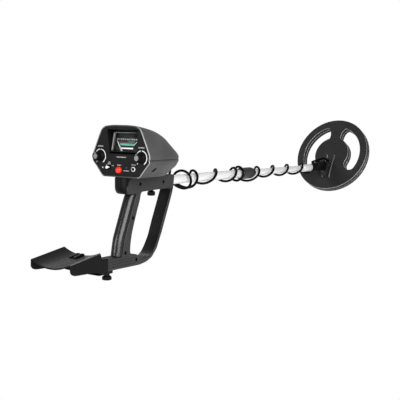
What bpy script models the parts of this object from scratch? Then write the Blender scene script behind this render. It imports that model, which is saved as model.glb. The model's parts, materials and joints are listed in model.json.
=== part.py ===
"""Hand-held metal detector: control box on a D-shaped handle, telescopic stem, search coil.

Run with: blender --background --python part.py
Every length in this script is in millimetres; MM turns it into metres when a mesh is made.
Stem frame: the origin is on the stem's axis just ahead of the handle, +X is the user's right,
+Y runs along the stem towards the coil and +Z is up. GRIP_CENTRE puts the world origin in the
middle of the hand grip.
"""
import math

import bmesh
import bpy
from mathutils import Vector

MM = 0.001
GAP = 0.3

# ---- driving dimensions -------------------------------------------------------------------------
GRIP_CENTRE = (0.0, -166.0, -80.0)

# control box: rows of (height, half width, where the side starts to curve in, front tip)
FACE_Y = -176.0
WALL = 2.2
SEAM_Z = 48.0
COVER_ROWS = [
    (SEAM_Z + GAP / 2, 72.1, -130.0, -26.0), (52.0, 72.1, -130.0, -26.3), (57.7, 71.8, -134.0, -30.5),
    (65.0, 68.6, -141.0, -38.0), (75.6, 64.0, -149.0, -50.0), (87.3, 58.8, -157.0, -64.0),
    (95.5, 55.0, -163.5, -79.6), (101.5, 52.0, -167.5, -97.0), (106.0, 49.0, -170.0, -118.0),
    (109.8, 43.5, -172.0, -143.0), (112.2, 33.0, -173.0, -157.0), (113.6, 18.0, -174.0, -166.0)]
SHELL_ROWS = [
    (SEAM_Z - GAP / 2, 72.1, -130.0, -26.0), (43.0, 72.1, -130.0, -26.3), (35.0, 65.2, -130.0, -27.5),
    (30.5, 61.3, -130.0, -31.0), (25.0, 56.6, -130.0, -40.0), (18.7, 51.3, -130.0, -49.0),
    (15.0, 47.6, -130.0, -54.0), (13.0, 44.0, -130.0, -58.0)]
PANEL_FRONT = FACE_Y + 0.6
PANEL_BACK = FACE_Y + 2.8
KNOB_X = 51.6
KNOB_Z = 52.4
BUTTON_AT = (-3.4, 27.1)
JACK_AT = (32.6, 30.2)
TOGGLE_AT = (-28.7, 31.6)
LED_AT = (14.5, 31.8)
METER_OPENING = [(-28.9, 58.0), (39.0, 58.0), (42.0, 105.0), (-34.4, 105.0)]
METER_BACK = [(-28.9, 58.0), (39.0, 58.0), (42.0, 101.8), (-34.0, 101.8)]
HOOD_BACK = -147.5
METER_AT = (4.8, -171.5, 62.0)
METER_TILT = 18.0
NEEDLE_AT = (-11.0, 5.0, 4.4)
NEEDLE_LENGTH = 25.0
NEEDLE_REST = -40.0
DOOR_BOX = (35.0, 80.0, -150.0, -102.0, 20.0, 40.0)
SPEAKER_SLOT = 2.4
SPEAKER_SLOT_ZS = (23, 28, 33, 38)
GLAND_Y = -40.0
BATTERY_PITCH = 17.8

# handle
HANDLE_HALF = 15.0
HANDLE_TOP = 12.6
HANDLE_OUTLINE = [
    (-22, HANDLE_TOP), (-162, HANDLE_TOP), (-174, -8.4), (-170, -20), (-142, -20), (-149, -35),
    (-160.5, -63), (-170.5, -87.6), (-177.5, -106), (-181.5, -125), (-184, -139.5), (-255, -139.5),
    (-255, -162), (-131.5, -162), (-109.5, -158.4), (-93.5, -151.5), (-77.5, -135), (-68, -115.5),
    (-62, -104), (-49, -74), (-36, -44), (-26, -20), (-22, 5)]
HANDLE_LOOP = [
    (-129, -17.4), (-132.8, -33), (-142, -55.8), (-151, -80.6), (-157, -99.7), (-160, -115),
    (-161.5, -128.7), (-159.5, -139.5), (-138, -139.5), (-138, -150.5), (-103, -149.5), (-92, -141),
    (-84, -131), (-72, -112), (-62, -86), (-42, -40), (-31, -14.5)]
GRIP_LINE = [(-142, -20.3), (-149, -35), (-160.5, -63), (-170.5, -87.6), (-177.5, -106),
             (-181.5, -125), (-184, -139.2)]
CAP_CENTRE_Y = -169.0
# (height, how far the rear cap bulges out behind its centre)
CAP_ROWS = [(HANDLE_TOP, 15), (-6, 15), (-11, 13.6), (-15.5, 10.2), (-18.6, 6), (-20, 2)]
LONG_SCREWS = [(-154.5, -66.5), (-176, -132.7), (-143, -150), (-65, -103), (-29.2, -18.5), (-133, -1.5)]
SHORT_SCREWS = [(-59, -0.8)]
CLAMP_Y = -79.7

# arm cup
BAR_TOP = -139.5
BAR_BOTTOM = -162.0
CUP_REAR = -362.0
CUP_FRONT = -279.0
CUP_HALF = 47.0
CUP_DEPTH = 10.8
CUP_WALL = 3.0
CUP_RIDGE_REAR = -127.0
CUP_RIDGE_FRONT = -114.4
FOOT_Y = -213.0
# the two bracket fingers that lie along the trough from its front edge: their side view as (y, z)
FINGER_SIDE = [(-304, -131), (-303, -126.6), (-300, -125.2), (-281, -121.9), (-278, -123), (-276, -131)]
FINGER_X = (-13.0, -2.5)
FINGER_WIDE = 5.5

# stem
UPPER_R = 9.5
UPPER_BORE = 8.2
LOWER_R = 7.5
LOWER_BORE = 6.3
UPPER_REAR = -122.0
UPPER_FRONT = 296.0
COLLET_FRONT = 306.0
LOWER_REAR = 100.0
LOWER_FRONT = 605.5
COLLAR_R = 13.6
COLLAR_REAR = 254.0
COLLAR_FRONT = 310.0
SLEEVE_REAR = 563.0
SLEEVE_FRONT = 606.0

# coil; V runs up the face and H stands out of it, both measured from the pivot
PIVOT = (0.0, 672.0, 3.0)
COIL_TURN = 64.66
FACE_V = 53.1
FACE_H = -41.0
COIL_R = 105.0
COIL_THICK = 23.0
SPLIT_H = 12.0
SLOT_MID_R = 67.0
SLOT_HALF = 17.0
TRANSMIT_R = 94.0
RECEIVE_R = 38.0
COIL_GLAND_V = FACE_V - 24.0

CABLE_R = 2.7
# cable route round the stem: (turns in degrees, distance along the stem, radius of the winding)
WINDING = [
    (-180, 1, 16.5), (-90, 30, 21), (0, 29, 20), (90, 22, 17.5), (180, 19, 18), (270, 43, 20),
    (360, 55, 18.5), (450, 63, 16), (540, 77, 14.5), (630, 100, 14.5), (720, 128, 14.5),
    (810, 151, 14.5), (900, 171, 14.5), (990, 191, 14.5), (1080, 212, 15), (1170, 227, 15),
    (1260, 233, 15), (1350, 238, 15.5), (1440, 243, 15.5), (1530, 249, 16.5), (1620, 262, 18.4),
    (1710, 285, 18.4), (1800, 312, 17), (1890, 328, 13), (1980, 344, 12.4), (2070, 361, 12.4),
    (2160, 385, 12.4), (2250, 406, 12.4), (2340, 422, 12.4), (2430, 438, 12.4), (2520, 459, 12.4),
    (2610, 478, 12.4), (2700, 493, 12.4), (2790, 509, 12.4), (2880, 536, 12.4), (2970, 556, 12.8),
    (3060, 573, 13.8), (3150, 588, 14.2), (3240, 603, 14.6), (3330, 617, 14.8)]
CABLE_START = [(0, -34.5, 20.5), (-1, -26, 22.5), (-3, -15, 23), (-9, -6, 17), (-14, -1.5, 8.5)]
CABLE_END = [(0, 640, 18), (0, 662, 20.5), (0, 684, 22), (0, 700, 19.5), (0, 711.5, 13.5)]
STEM_JOIN_Y = 320.0
TIP_JOIN_Y = 610.0
CABLE_STEP = 10.0


def clear_scene():
    for item in list(bpy.data.objects):
        bpy.data.objects.remove(item, do_unlink=True)


# ---- helpers ------------------------------------------------------------------------------------
def empty(name, at, parent=None, turn_x=0.0):
    item = bpy.data.objects.new(name, None)
    bpy.context.collection.objects.link(item)
    item.location = Vector(at) * MM
    item.rotation_euler.x = math.radians(turn_x)
    item.parent = parent
    return item


def paint(name, colour, roughness, metallic=0.0):
    material = bpy.data.materials.new(name)
    material.use_nodes = True
    shader = material.node_tree.nodes["Principled BSDF"]
    shader.inputs["Base Color"].default_value = (*colour, 1.0)
    shader.inputs["Roughness"].default_value = roughness
    shader.inputs["Metallic"].default_value = metallic
    return material


BLACK = (0.018, 0.018, 0.019)
CHARCOAL = (0.045, 0.045, 0.047)
SILVER = (0.80, 0.80, 0.81)
GREY = (0.6, 0.6, 0.6)
RED = (0.75, 0.05, 0.02)
DARK_RED = (0.12, 0.02, 0.02)


def make(name, bm, parent, at=(0, 0, 0), colour=BLACK, roughness=0.5, metallic=0.0):
    """Turn a bmesh in millimetres into a named object with its own material."""
    bmesh.ops.remove_doubles(bm, verts=bm.verts, dist=0.001)
    bmesh.ops.recalc_face_normals(bm, faces=bm.faces)
    bmesh.ops.scale(bm, vec=Vector((MM, MM, MM)), verts=bm.verts)
    mesh = bpy.data.meshes.new(name)
    bm.to_mesh(mesh)
    bm.free()
    item = bpy.data.objects.new(name, mesh)
    bpy.context.collection.objects.link(item)
    item.location = Vector(at) * MM
    item.parent = parent
    mesh.materials.append(paint(name, colour, roughness, metallic))
    mesh.shade_smooth()
    mesh.set_sharp_from_angle(angle=math.radians(35))
    return item


def cutter(name, bm, parent, at=(0, 0, 0)):
    item = make(name, bm, parent, at)
    item.hide_render = True
    item.display_type = "WIRE"
    return item


def combine(item, other, operation):
    modifier = item.modifiers.new(operation.lower(), "BOOLEAN")
    modifier.operation = operation
    modifier.solver = "EXACT"
    modifier.object = other
    return item


def cut(item, *others):
    for other in others:
        combine(item, other, "DIFFERENCE")
    return item


def fuse(item, *others):
    for other in others:
        combine(item, other, "UNION")
    return item


AXES = {"X": lambda a, b, h: (h, a, b), "Y": lambda a, b, h: (a, h, b), "Z": lambda a, b, h: (a, b, h)}


def prism(outline, low, high, axis="X"):
    """A flat outline pushed along an axis from low to high."""
    bm = bmesh.new()
    place = AXES[axis]
    face = bm.faces.new([bm.verts.new(place(a, b, low)) for a, b in outline])
    pushed = bmesh.ops.extrude_face_region(bm, geom=[face])
    verts = [g for g in pushed["geom"] if isinstance(g, bmesh.types.BMVert)]
    bmesh.ops.translate(bm, vec=Vector(place(0, 0, high - low)), verts=verts)
    return bm


def block(x0, x1, y0, y1, z0, z1):
    return prism([(x0, y0), (x1, y0), (x1, y1), (x0, y1)], z0, z1, "Z")


def lathe(profile, axis="Y", segments=24, ring=False):
    """Turn a profile of (radius, distance along the axis); a ring's profile is a closed loop."""
    bm = bmesh.new()
    place = {"X": lambda r, h: (h, r, 0), "Y": lambda r, h: (r, h, 0), "Z": lambda r, h: (r, 0, h)}[axis]
    verts = [bm.verts.new(place(r, h)) for r, h in profile]
    edges = [bm.edges.new(pair) for pair in zip(verts, verts[1:])]
    if ring:
        edges.append(bm.edges.new((verts[-1], verts[0])))
    turn = {"X": (1, 0, 0), "Y": (0, 1, 0), "Z": (0, 0, 1)}[axis]
    bmesh.ops.spin(bm, geom=verts + edges, cent=(0, 0, 0), axis=turn, angle=math.tau,
                   steps=segments, use_merge=True, use_duplicate=False)
    return bm


def rod(radius, low, high, axis="Y", segments=16):
    return lathe([(0, low), (radius, low), (radius, high), (0, high)], axis, segments)


def pipe(outer, inner, low, high, axis="Y", segments=24):
    return lathe([(inner, low), (outer, low), (outer, high), (inner, high)], axis, segments, ring=True)


def merge_meshes(*parts):
    """Put several separate solids into one bmesh; each stays a body of its own."""
    bm = bmesh.new()
    for part in parts:
        mesh = bpy.data.meshes.new("part")
        part.to_mesh(mesh)
        part.free()
        bm.from_mesh(mesh)
        bpy.data.meshes.remove(mesh)
    return bm


def moved(bm, x=0.0, y=0.0, z=0.0):
    bmesh.ops.translate(bm, vec=Vector((x, y, z)), verts=bm.verts)
    return bm


def arc(cx, cy, radius, start, end, steps):
    angles = [math.radians(start + (end - start) * i / steps) for i in range(steps + 1)]
    return [(cx + radius * math.cos(a), cy + radius * math.sin(a)) for a in angles]


def loft(rows, cap=True):
    """Join rings of equal length into a skin, with a face over each end when it is capped."""
    bm = bmesh.new()
    rings = [[bm.verts.new(p) for p in row] for row in rows]
    for a, b in zip(rings, rings[1:]):
        for i in range(len(a)):
            j = (i + 1) % len(a)
            bm.faces.new((a[i], a[j], b[j], b[i]))
    if cap:
        bm.faces.new(rings[0][::-1])
        bm.faces.new(rings[-1])
    return bm


def disc(profile, segments=64):
    """A round plate with one flat face above and one below, from a profile of (radius, height)."""
    return loft([[(x, y, h) for x, y in arc(0, 0, r, 0, 360, segments)[:-1]] for r, h in profile])


def inset(points, distance):
    """Shrink an anticlockwise outline by a distance, corner by corner."""
    result = []
    for i, point in enumerate(points):
        here = Vector(point)
        back = (here - Vector(points[i - 1])).normalized()
        ahead = (Vector(points[(i + 1) % len(points)]) - here).normalized()
        normal = Vector((-(back + ahead).y, (back + ahead).x)).normalized()
        reach = distance / max(0.4, normal.dot(Vector((-back.y, back.x))))
        result.append(tuple(here + normal * reach))
    return result


# ---- control box --------------------------------------------------------------------------------
def box_row(height, half, curve_y, tip_y, steps=12):
    """One level of the box: straight sides from the face, then half an ellipse round the front."""
    reach = tip_y - curve_y
    points = [(half, FACE_Y)]
    for i in range(steps + 1):
        angle = math.pi * i / steps
        points.append((half * math.cos(angle), curve_y + reach * math.sin(angle)))
    points.append((-half, FACE_Y))
    return [(x, y, height) for x, y in points]


def box_skin(rows):
    """Open skin through the rows, left open at the face and the seam and closed at the far end."""
    bm = bmesh.new()
    rings = [[bm.verts.new(p) for p in box_row(*row)] for row in rows]
    for a, b in zip(rings, rings[1:]):
        for i in range(len(a) - 1):
            bm.faces.new((a[i], a[i + 1], b[i + 1], b[i]))
    bm.faces.new(rings[-1])
    return bm


def thick_skin(name, rows, parent, colour, roughness, upward):
    bm = box_skin(rows)
    item = make(name, bm, parent, colour=colour, roughness=roughness)
    low_face = max(item.data.polygons, key=lambda p: len(p.vertices))
    if (low_face.normal.z > 0) != upward:
        item.data.flip_normals()
    solidify = item.modifiers.new("wall", "SOLIDIFY")
    solidify.thickness = WALL * MM
    solidify.offset = -1.0
    solidify.use_even_offset = True
    return item


def control_box(root):
    cover = thick_skin("housing_top_cover", COVER_ROWS, root, CHARCOAL, 0.55, True)
    shell = thick_skin("housing_bottom_shell", SHELL_ROWS, root, CHARCOAL, 0.55, False)
    door = thick_skin("battery_door", SHELL_ROWS, root, CHARCOAL, 0.55, False)
    x0, x1, y0, y1, z0, z1 = DOOR_BOX
    cut(shell, cutter("door_opening", block(x0, x1, y0, y1, z0, z1), root))
    kept = block(x0 + GAP, x1 - GAP, y0 + GAP, y1 - GAP, z0 + GAP, z1 - GAP)
    combine(door, cutter("door_blank", kept, root), "INTERSECT")
    slots = [block(-80, -40, -132, -108, z, z + SPEAKER_SLOT) for z in SPEAKER_SLOT_ZS]
    cut(shell, cutter("speaker_slots", merge_meshes(*slots), root))
    cut(shell, cutter("cable_way", moved(rod(3.8, -12, 12, "Z"), 0, GLAND_Y, 25), root))
    inside_parts(root)


def face_outline():
    """The box's edge at its face, from the bottom right up and round to the bottom left."""
    right = [(row[1], row[0]) for row in reversed(SHELL_ROWS)]
    right += [(row[1], row[0]) for row in COVER_ROWS]
    left = [(-x, z) for x, z in reversed(right)]
    return right + left


def face(root):
    outline = inset(face_outline(), WALL + 0.5)
    panel = make("face_panel", prism(outline, PANEL_FRONT, PANEL_BACK, "Y"), root, roughness=0.45)
    cut(panel, cutter("meter_opening", prism(METER_OPENING, -190, -160, "Y"), root))
    holes = [((KNOB_X, KNOB_Z), 3.8), ((-KNOB_X, KNOB_Z), 3.8), (BUTTON_AT, 7.0), (JACK_AT, 4.0),
             (TOGGLE_AT, 3.4), (LED_AT, 2.9)]
    drills = [moved(rod(radius, -180, -170, "Y", 20), x, 0, z) for (x, z), radius in holes]
    cut(panel, cutter("panel_holes", merge_meshes(*drills), root))
    outer_front, outer_back = inset(METER_OPENING, -1.6), inset(METER_BACK, -1.6)
    front, back = PANEL_BACK + GAP, HOOD_BACK
    skin = loft([[(x, front, z) for x, z in outer_front], [(x, back, z) for x, z in outer_back]])
    bezel = make("meter_bezel", skin, root, roughness=0.35)
    front, back = PANEL_BACK, HOOD_BACK + 0.5
    way = loft([[(x, front, z) for x, z in METER_OPENING], [(x, back, z) for x, z in METER_BACK]])
    cut(bezel, cutter("bezel_way", way, root))


def meter(root):
    tilt = empty("meter_tilt", METER_AT, root, -METER_TILT)
    outline = [(-33, 0), (33, 0), (36.4, 43), (-36.4, 43)]
    case = make("meter_case", prism(outline, 0, 10, "Y"), tilt, colour=(0.55, 0.56, 0.55), roughness=0.4)
    cut(case, cutter("case_hollow", prism(inset(outline, 1.5), -2, 8.4, "Y"), tilt))
    inner = inset(outline, 1.5 + GAP)
    make("meter_dial", prism(inner, 7.0, 8.1, "Y"), tilt, colour=(0.02, 0.02, 0.022), roughness=0.6)
    make("meter_window", prism(inner, 0.5, 1.9, "Y"), tilt, colour=(0.8, 0.85, 0.85), roughness=0.05)
    movement = moved(rod(10, 10.3, 21, "Y", 20), 0, 0, 15)
    make("meter_movement", movement, tilt, colour=(0.5, 0.5, 0.5), roughness=0.4)
    swing = empty("needle_axis", NEEDLE_AT, tilt)
    swing.rotation_euler.y = math.radians(NEEDLE_REST)
    pointer = [(-1.6, -1.6), (1.6, -1.6), (0.4, NEEDLE_LENGTH), (-0.4, NEEDLE_LENGTH)]
    make("meter_needle", prism(pointer, -0.4, 0.4, "Y"), swing, colour=(0.75, 0.1, 0.06), roughness=0.4)


def inside_parts(root):
    make("circuit_board", block(-36, 36, -150, -75, 50, 51.6), root, colour=(0.03, 0.18, 0.08))
    for index in range(3):
        y = -149.5 + BATTERY_PITCH * index
        cell = block(-8, 40, y, y + 17.3, 16.5, 43)
        make(f"battery_{index + 1}", cell, root, colour=(0.5, 0.5, 0.5), roughness=0.35, metallic=0.6)
    speaker = lathe([(0, -47), (14, -47), (14, -44), (9, -38), (0, -38)], "X", 24)
    make("speaker", speaker, root, at=(0, -120, 34), colour=(0.1, 0.1, 0.1))
    gland = pipe(5.4, 3.1, 0, 5, "Z", 16)
    make("housing_gland", moved(gland, 0, GLAND_Y, 15.5), root, roughness=0.6)


def on_face(place):
    """Where a control at (x, z) on the face has its origin."""
    return (place[0], 0, place[1])


def controls(root):
    for side, name in ((-1, "volume"), (1, "tuning")):
        at = (side * KNOB_X, 0, KNOB_Z)
        pot = [(0, -187), (2.9, -187), (2.9, -172.9), (8, -172.9), (8, -163), (0, -163)]
        make(f"{name}_potentiometer", lathe(pot, "Y", 20), root, at, SILVER, 0.35, 1.0)
        turned = [(0, -191.5), (5.6, -191.5), (7.6, -190.3), (8.8, -181), (10.4, -178.5), (10.4, -176.4),
                  (3.2, -176.4), (3.2, -187.6), (0, -187.6)]
        make(f"{name}_knob", lathe(turned, "Y", 28), root, at, roughness=0.35)
    button = [(0, -182), (3.6, -181.6), (5.8, -180.2), (6.6, -178), (6.6, -171.5), (0, -171.5)]
    make("reset_button", lathe(button, "Y", 24), root, on_face(BUTTON_AT), RED, 0.35)
    make("reset_switch", block(-6, 6, -169, -159, -6, 6), root, on_face(BUTTON_AT), CHARCOAL)
    lever = lathe([(0, -12), (1.6, -12), (2.1, -11), (1.3, -2), (1.3, 3), (0, 3)], "Y", 14)
    make("mode_toggle", lever, root, (TOGGLE_AT[0], -176, TOGGLE_AT[1]), SILVER, 0.2, 1.0)
    bush = [(2.2, -177.6), (4.6, -177.6), (4.6, -175.7), (3.1, -175.7), (3.1, -172.9), (6, -172.9),
            (6, -160),
            (2.2, -160)]
    make("toggle_switch", lathe(bush, "Y", 20, ring=True), root, on_face(TOGGLE_AT), GREY, 0.3, 1.0)
    jack = [(2.0, -177.4), (4.8, -177.4), (4.8, -175.7), (3.7, -175.7), (3.7, -172.9), (5.5, -172.9),
            (5.5, -160), (2.0, -160)]
    make("headphone_jack", lathe(jack, "Y", 20, ring=True), root, on_face(JACK_AT), SILVER, 0.25, 1.0)
    lamp = [(0, -176.4), (1.6, -176.1), (2.5, -175), (2.5, -172.7), (3.2, -172.7), (3.2, -170), (0, -170)]
    make("power_led", lathe(lamp, "Y", 16), root, on_face(LED_AT), DARK_RED, 0.2)


# ---- handle -------------------------------------------------------------------------------------
def handle(root):
    halves = {"handle_right_half": (GAP / 2, HANDLE_HALF), "handle_left_half": (-HANDLE_HALF, -GAP / 2)}
    loop = cutter("handle_loop", prism(HANDLE_LOOP, -20, 20, "X"), root)
    bore = cutter("stem_bore", rod(UPPER_R + GAP, -125, -10, "Y", 32), root)
    clamp_hole = cutter("clamp_hole", moved(rod(3.4, -25, -5, "Z", 16), 0, CLAMP_Y), root)
    slot = cutter("foot_slot", block(-3.4, 3.4, -237, -194, -165, -154), root)
    nut_way = cutter("foot_nut_way", block(-6.6, 6.6, -243, -188, -155.3, -148), root)
    holes = []
    stepped = [(0, -8), (1.6, -8), (1.6, 11), (2.7, 11), (2.7, 16), (0, 16)]
    for y, z in LONG_SCREWS:
        holes.append(moved(lathe(stepped, "X", 12), 0, y, z))
    for y, z in SHORT_SCREWS:
        holes.append(moved(rod(2.7, 11, 16, "X", 12), 0, y, z))
    drilled = cutter("handle_screw_holes", merge_meshes(*holes), root)
    for name, (low, high) in halves.items():
        half = make(name, prism(HANDLE_OUTLINE, low, high, "X"), root, colour=CHARCOAL, roughness=0.6)
        cut(half, loop, bore, clamp_hole, slot, nut_way, drilled)
    long_screw = [(0, -7), (1.3, -7), (1.3, 11.3), (2.4, 11.3), (2.4, 13.2), (0, 13.2)]
    short_screw = [(0, 11.3), (2.4, 11.3), (2.4, 13.2), (0, 13.2)]
    places = [(place, long_screw) for place in LONG_SCREWS]
    places += [(place, short_screw) for place in SHORT_SCREWS]
    for number, ((y, z), profile) in enumerate(places, 1):
        make(f"handle_screw_{number}", lathe(profile, "X", 10), root, (0, y, z), (0.03, 0.03, 0.03), 0.4,
             1.0)
    rows = []
    for z, reach in CAP_ROWS:
        curve = [(x, CAP_CENTRE_Y + y * reach) for x, y in arc(0, 0, 1, 0, -180, 14)]
        curve = [(x * HANDLE_HALF, y) for x, y in curve]
        rows.append([(x, y, z) for x, y in [(HANDLE_HALF, -150)] + curve + [(-HANDLE_HALF, -150)]])
    cap = make("handle_rear_cap", loft(rows), root, roughness=0.4)
    ahead = [(-162, 14), (-162, HANDLE_TOP), (-174, -8.4), (-170, -20), (-170, -22), (-140, -22), (-140, 14)]
    cut(cap, cutter("cap_front", prism([(y - GAP, z) for y, z in ahead], -20, 20, "X"), root))
    rows = []
    for y, z in GRIP_LINE:
        rows.append([(px, py, z) for px, py in arc(0, y - GAP, HANDLE_HALF, 0, -180, 12)])
    make("grip_rubber", loft(rows), root, roughness=0.35)
    knob = [(0, -28.7), (6.6, -28.7), (8, -27.4), (8, -21), (7, -18.4), (3, -18.4), (3, -9.9), (0, -9.9)]
    make("clamp_knob", lathe(knob, "Z", 24), root, (0, CLAMP_Y, 0))


# ---- arm cup ------------------------------------------------------------------------------------
def ridge_height(y):
    share = (y - CUP_REAR) / (CUP_FRONT - CUP_REAR)
    return CUP_RIDGE_REAR + share * (CUP_RIDGE_FRONT - CUP_RIDGE_REAR)


def cup_section(y, flange_low):
    """Cross-section of the cup at one distance: the shallow trough and its two hanging flanges."""
    top = ridge_height(y)
    across = [-1.0 + 2.0 * i / 12 for i in range(13)]
    trough = [(CUP_HALF * s, top - CUP_DEPTH * (1 - s * s)) for s in across]
    outer = CUP_HALF + CUP_WALL
    below = [(CUP_HALF * s * 0.97, top - CUP_WALL - CUP_DEPTH * (1 - s * s)) for s in reversed(across)]
    right = [(outer, top - 1.5), (outer, flange_low), (CUP_HALF, flange_low)]
    left = [(-CUP_HALF, flange_low), (-outer, flange_low), (-outer, top - 1.5)]
    return [(x, y, z) for x, z in trough + right + below + left]


def arm_rest(root):
    stations = [(CUP_REAR, -137), (-358, -144), (-350, -147.5), (-320, -148.5), (-300, -149.5),
                (CUP_FRONT, -156)]
    slide = empty("arm_cup_slide", (0, FOOT_Y, 0), root)
    shift = -FOOT_Y
    dish = moved(loft([cup_section(y, low) for y, low in stations]), 0, shift)
    cup = make("arm_cup", dish, slide, roughness=0.5)
    web = [[(-CUP_HALF - 1, -296, -149), (CUP_HALF + 1, -296, -149), (CUP_HALF + 1, -296, -143),
            (-CUP_HALF - 1, -296, -143)],
           [(-CUP_HALF - 2, -280, -156), (CUP_HALF + 2, -280, -156), (CUP_HALF + 2, -280, -139),
            (-CUP_HALF - 2, -280, -139)],
           [(-17.5, -257.5, -164.8), (17.5, -257.5, -164.8), (17.5, -257.5, -137), (-17.5, -257.5, -137)],
           [(-17.5, -229, -164.8), (17.5, -229, -164.8), (17.5, -229, -137), (-17.5, -229, -137)]]
    web_solid = cutter("cup_web", moved(loft(web), 0, shift), slide)
    post = cutter("cup_post", moved(block(-16, 16, -292, -272, -145, -126), 0, shift), slide)
    tongue = cutter("cup_tongue", moved(block(-10, 10, -240, -202, -168.6, -162.4), 0, shift), slide)
    fuse(cup, web_solid, post, tongue)
    for side, x in zip(("left", "right"), FINGER_X):
        finger = moved(prism(FINGER_SIDE, x, x + FINGER_WIDE, "X"), 0, shift)
        fuse(cup, cutter(f"cup_finger_{side}", finger, slide))
    socket = block(-15.3, 15.3, -256, -220, BAR_BOTTOM - GAP, BAR_TOP + GAP)
    socket = cutter("cup_socket", moved(socket, 0, shift), slide)
    hole = cutter("cup_hole", rod(3.4, -175, -160, "Z", 16), slide)
    cut(cup, socket, hole)
    knob = [(0, -181.7), (8.2, -181.7), (9.3, -180.6), (9.3, -175.6), (8.4, -173.7), (5.4, -173.7),
            (5.4, -168.9), (2.9, -168.9), (2.9, -149), (0, -149)]
    make("arm_cup_knob", lathe(knob, "Z", 24), slide)
    nut = block(-6, 6, -6, 6, -154.7, -150.4)
    nut = make("arm_cup_nut", nut, slide, colour=SILVER, roughness=0.3, metallic=1.0)
    cut(nut, cutter("nut_hole", rod(3.2, -160, -145, "Z", 16), slide))


# ---- stem ---------------------------------------------------------------------------------------
def stem(root):
    upper = pipe(UPPER_R, UPPER_BORE, UPPER_REAR, UPPER_FRONT, "Y", 32)
    make("upper_stem_tube", upper, root, colour=SILVER, roughness=0.2, metallic=1.0)
    collet = pipe(9.4, LOWER_R + GAP, UPPER_FRONT + GAP, COLLET_FRONT, "Y", 24)
    make("stem_collet", collet, root, colour=(0.5, 0.5, 0.5))
    narrow, wide, shoulder = LOWER_R + 0.4, UPPER_R + GAP, COLLET_FRONT + 1
    collar = [(COLLAR_R - 1, COLLAR_REAR), (COLLAR_R, COLLAR_REAR + 1.5), (COLLAR_R, 300),
              (11, COLLAR_FRONT),
              (narrow, COLLAR_FRONT), (narrow, shoulder), (wide, shoulder), (wide, COLLAR_REAR)]
    make("lock_collar", lathe(collar, "Y", 32, ring=True), root)
    slide = empty("stem_slide", (0, 0, 0), root)
    lower = pipe(LOWER_R, LOWER_BORE, LOWER_REAR, LOWER_FRONT, "Y", 32)
    make("lower_stem_tube", lower, slide, colour=SILVER, roughness=0.2, metallic=1.0)
    stop = LOWER_REAR - GAP
    plug = [(0, 90), (7.9, 90), (7.9, stop), (6, stop), (6, 112), (0, 112)]
    make("stem_end_plug", lathe(plug, "Y", 20), slide)
    sleeve = pipe(9.6, LOWER_R + GAP, SLEEVE_REAR, SLEEVE_FRONT, "Y", 32)
    make("stem_tip_sleeve", sleeve, slide, colour=SILVER, roughness=0.2, metallic=1.0)
    start = SLEEVE_FRONT + GAP
    body = [(0, 588), (6, 588), (6, start), (9.8, start), (10.8, 630), (10.8, 654), (0, 654)]
    fork = make("stem_tip_fork", lathe(body, "Y", 24), slide)
    cheek = [(632, 10.6), (632, -10.6)] + arc(PIVOT[1], PIVOT[2], 13, -100, 100, 14)
    fuse(fork, cutter("fork_cheeks", prism(cheek, -11.2, 11.2, "X"), slide))
    cut(fork, cutter("fork_slot", block(-7, 7, 656, 700, -20, 20), slide))
    cut(fork, cutter("fork_hole", rod(3.3, -20, 20, "X", 16), slide, PIVOT))
    bolt = [(0, 14.6), (5, 14.6), (6.5, 13.2), (6.5, 11.5), (3, 11.5), (3, -21), (0, -21)]
    make("pivot_bolt", lathe(bolt, "X", 18), slide, PIVOT)
    make("pivot_washer_right", pipe(9, 3.3, 5.5, 6.7, "X", 20), slide, PIVOT)
    make("pivot_washer_left", pipe(9, 3.3, -6.7, -5.5, "X", 20), slide, PIVOT)
    nut = make("wing_nut", pipe(6, 3.3, -19, -11.5, "X", 18), slide, PIVOT)
    wings = cutter("nut_wings", block(-18, -13, -13, 13, -1.8, 1.8), slide, PIVOT)
    fuse(nut, wings)
    cut(nut, cutter("wing_nut_hole", rod(3.3, -25, -5, "X", 18), slide, PIVOT))
    return slide


# ---- search coil --------------------------------------------------------------------------------
def kidney(side):
    """One slot of the coil: a band round the middle with a blunt end at the top, a round one below."""
    start = math.radians(-25)
    end = math.radians(68)
    outer = []
    inner = []
    steps = 20
    low_cap = 15 / SLOT_MID_R
    high_cap = 8 / SLOT_MID_R
    for i in range(steps + 1):
        share = 0.5 - 0.5 * math.cos(math.pi * i / steps)
        angle = start - low_cap + share * (end + high_cap - start + low_cap)
        past = max((start - angle) / low_cap, (angle - end) / high_cap, 0.0)
        half = SLOT_HALF * math.sqrt(max(0.0, 1 - min(past, 1.0) ** 2))
        outer.append((side * (SLOT_MID_R + half) * math.cos(angle), (SLOT_MID_R + half) * math.sin(angle)))
        inner.append((side * (SLOT_MID_R - half) * math.cos(angle), (SLOT_MID_R - half) * math.sin(angle)))
    points = outer + inner[-2:0:-1]
    return [(x, v + FACE_V) for x, v in points]


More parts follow.
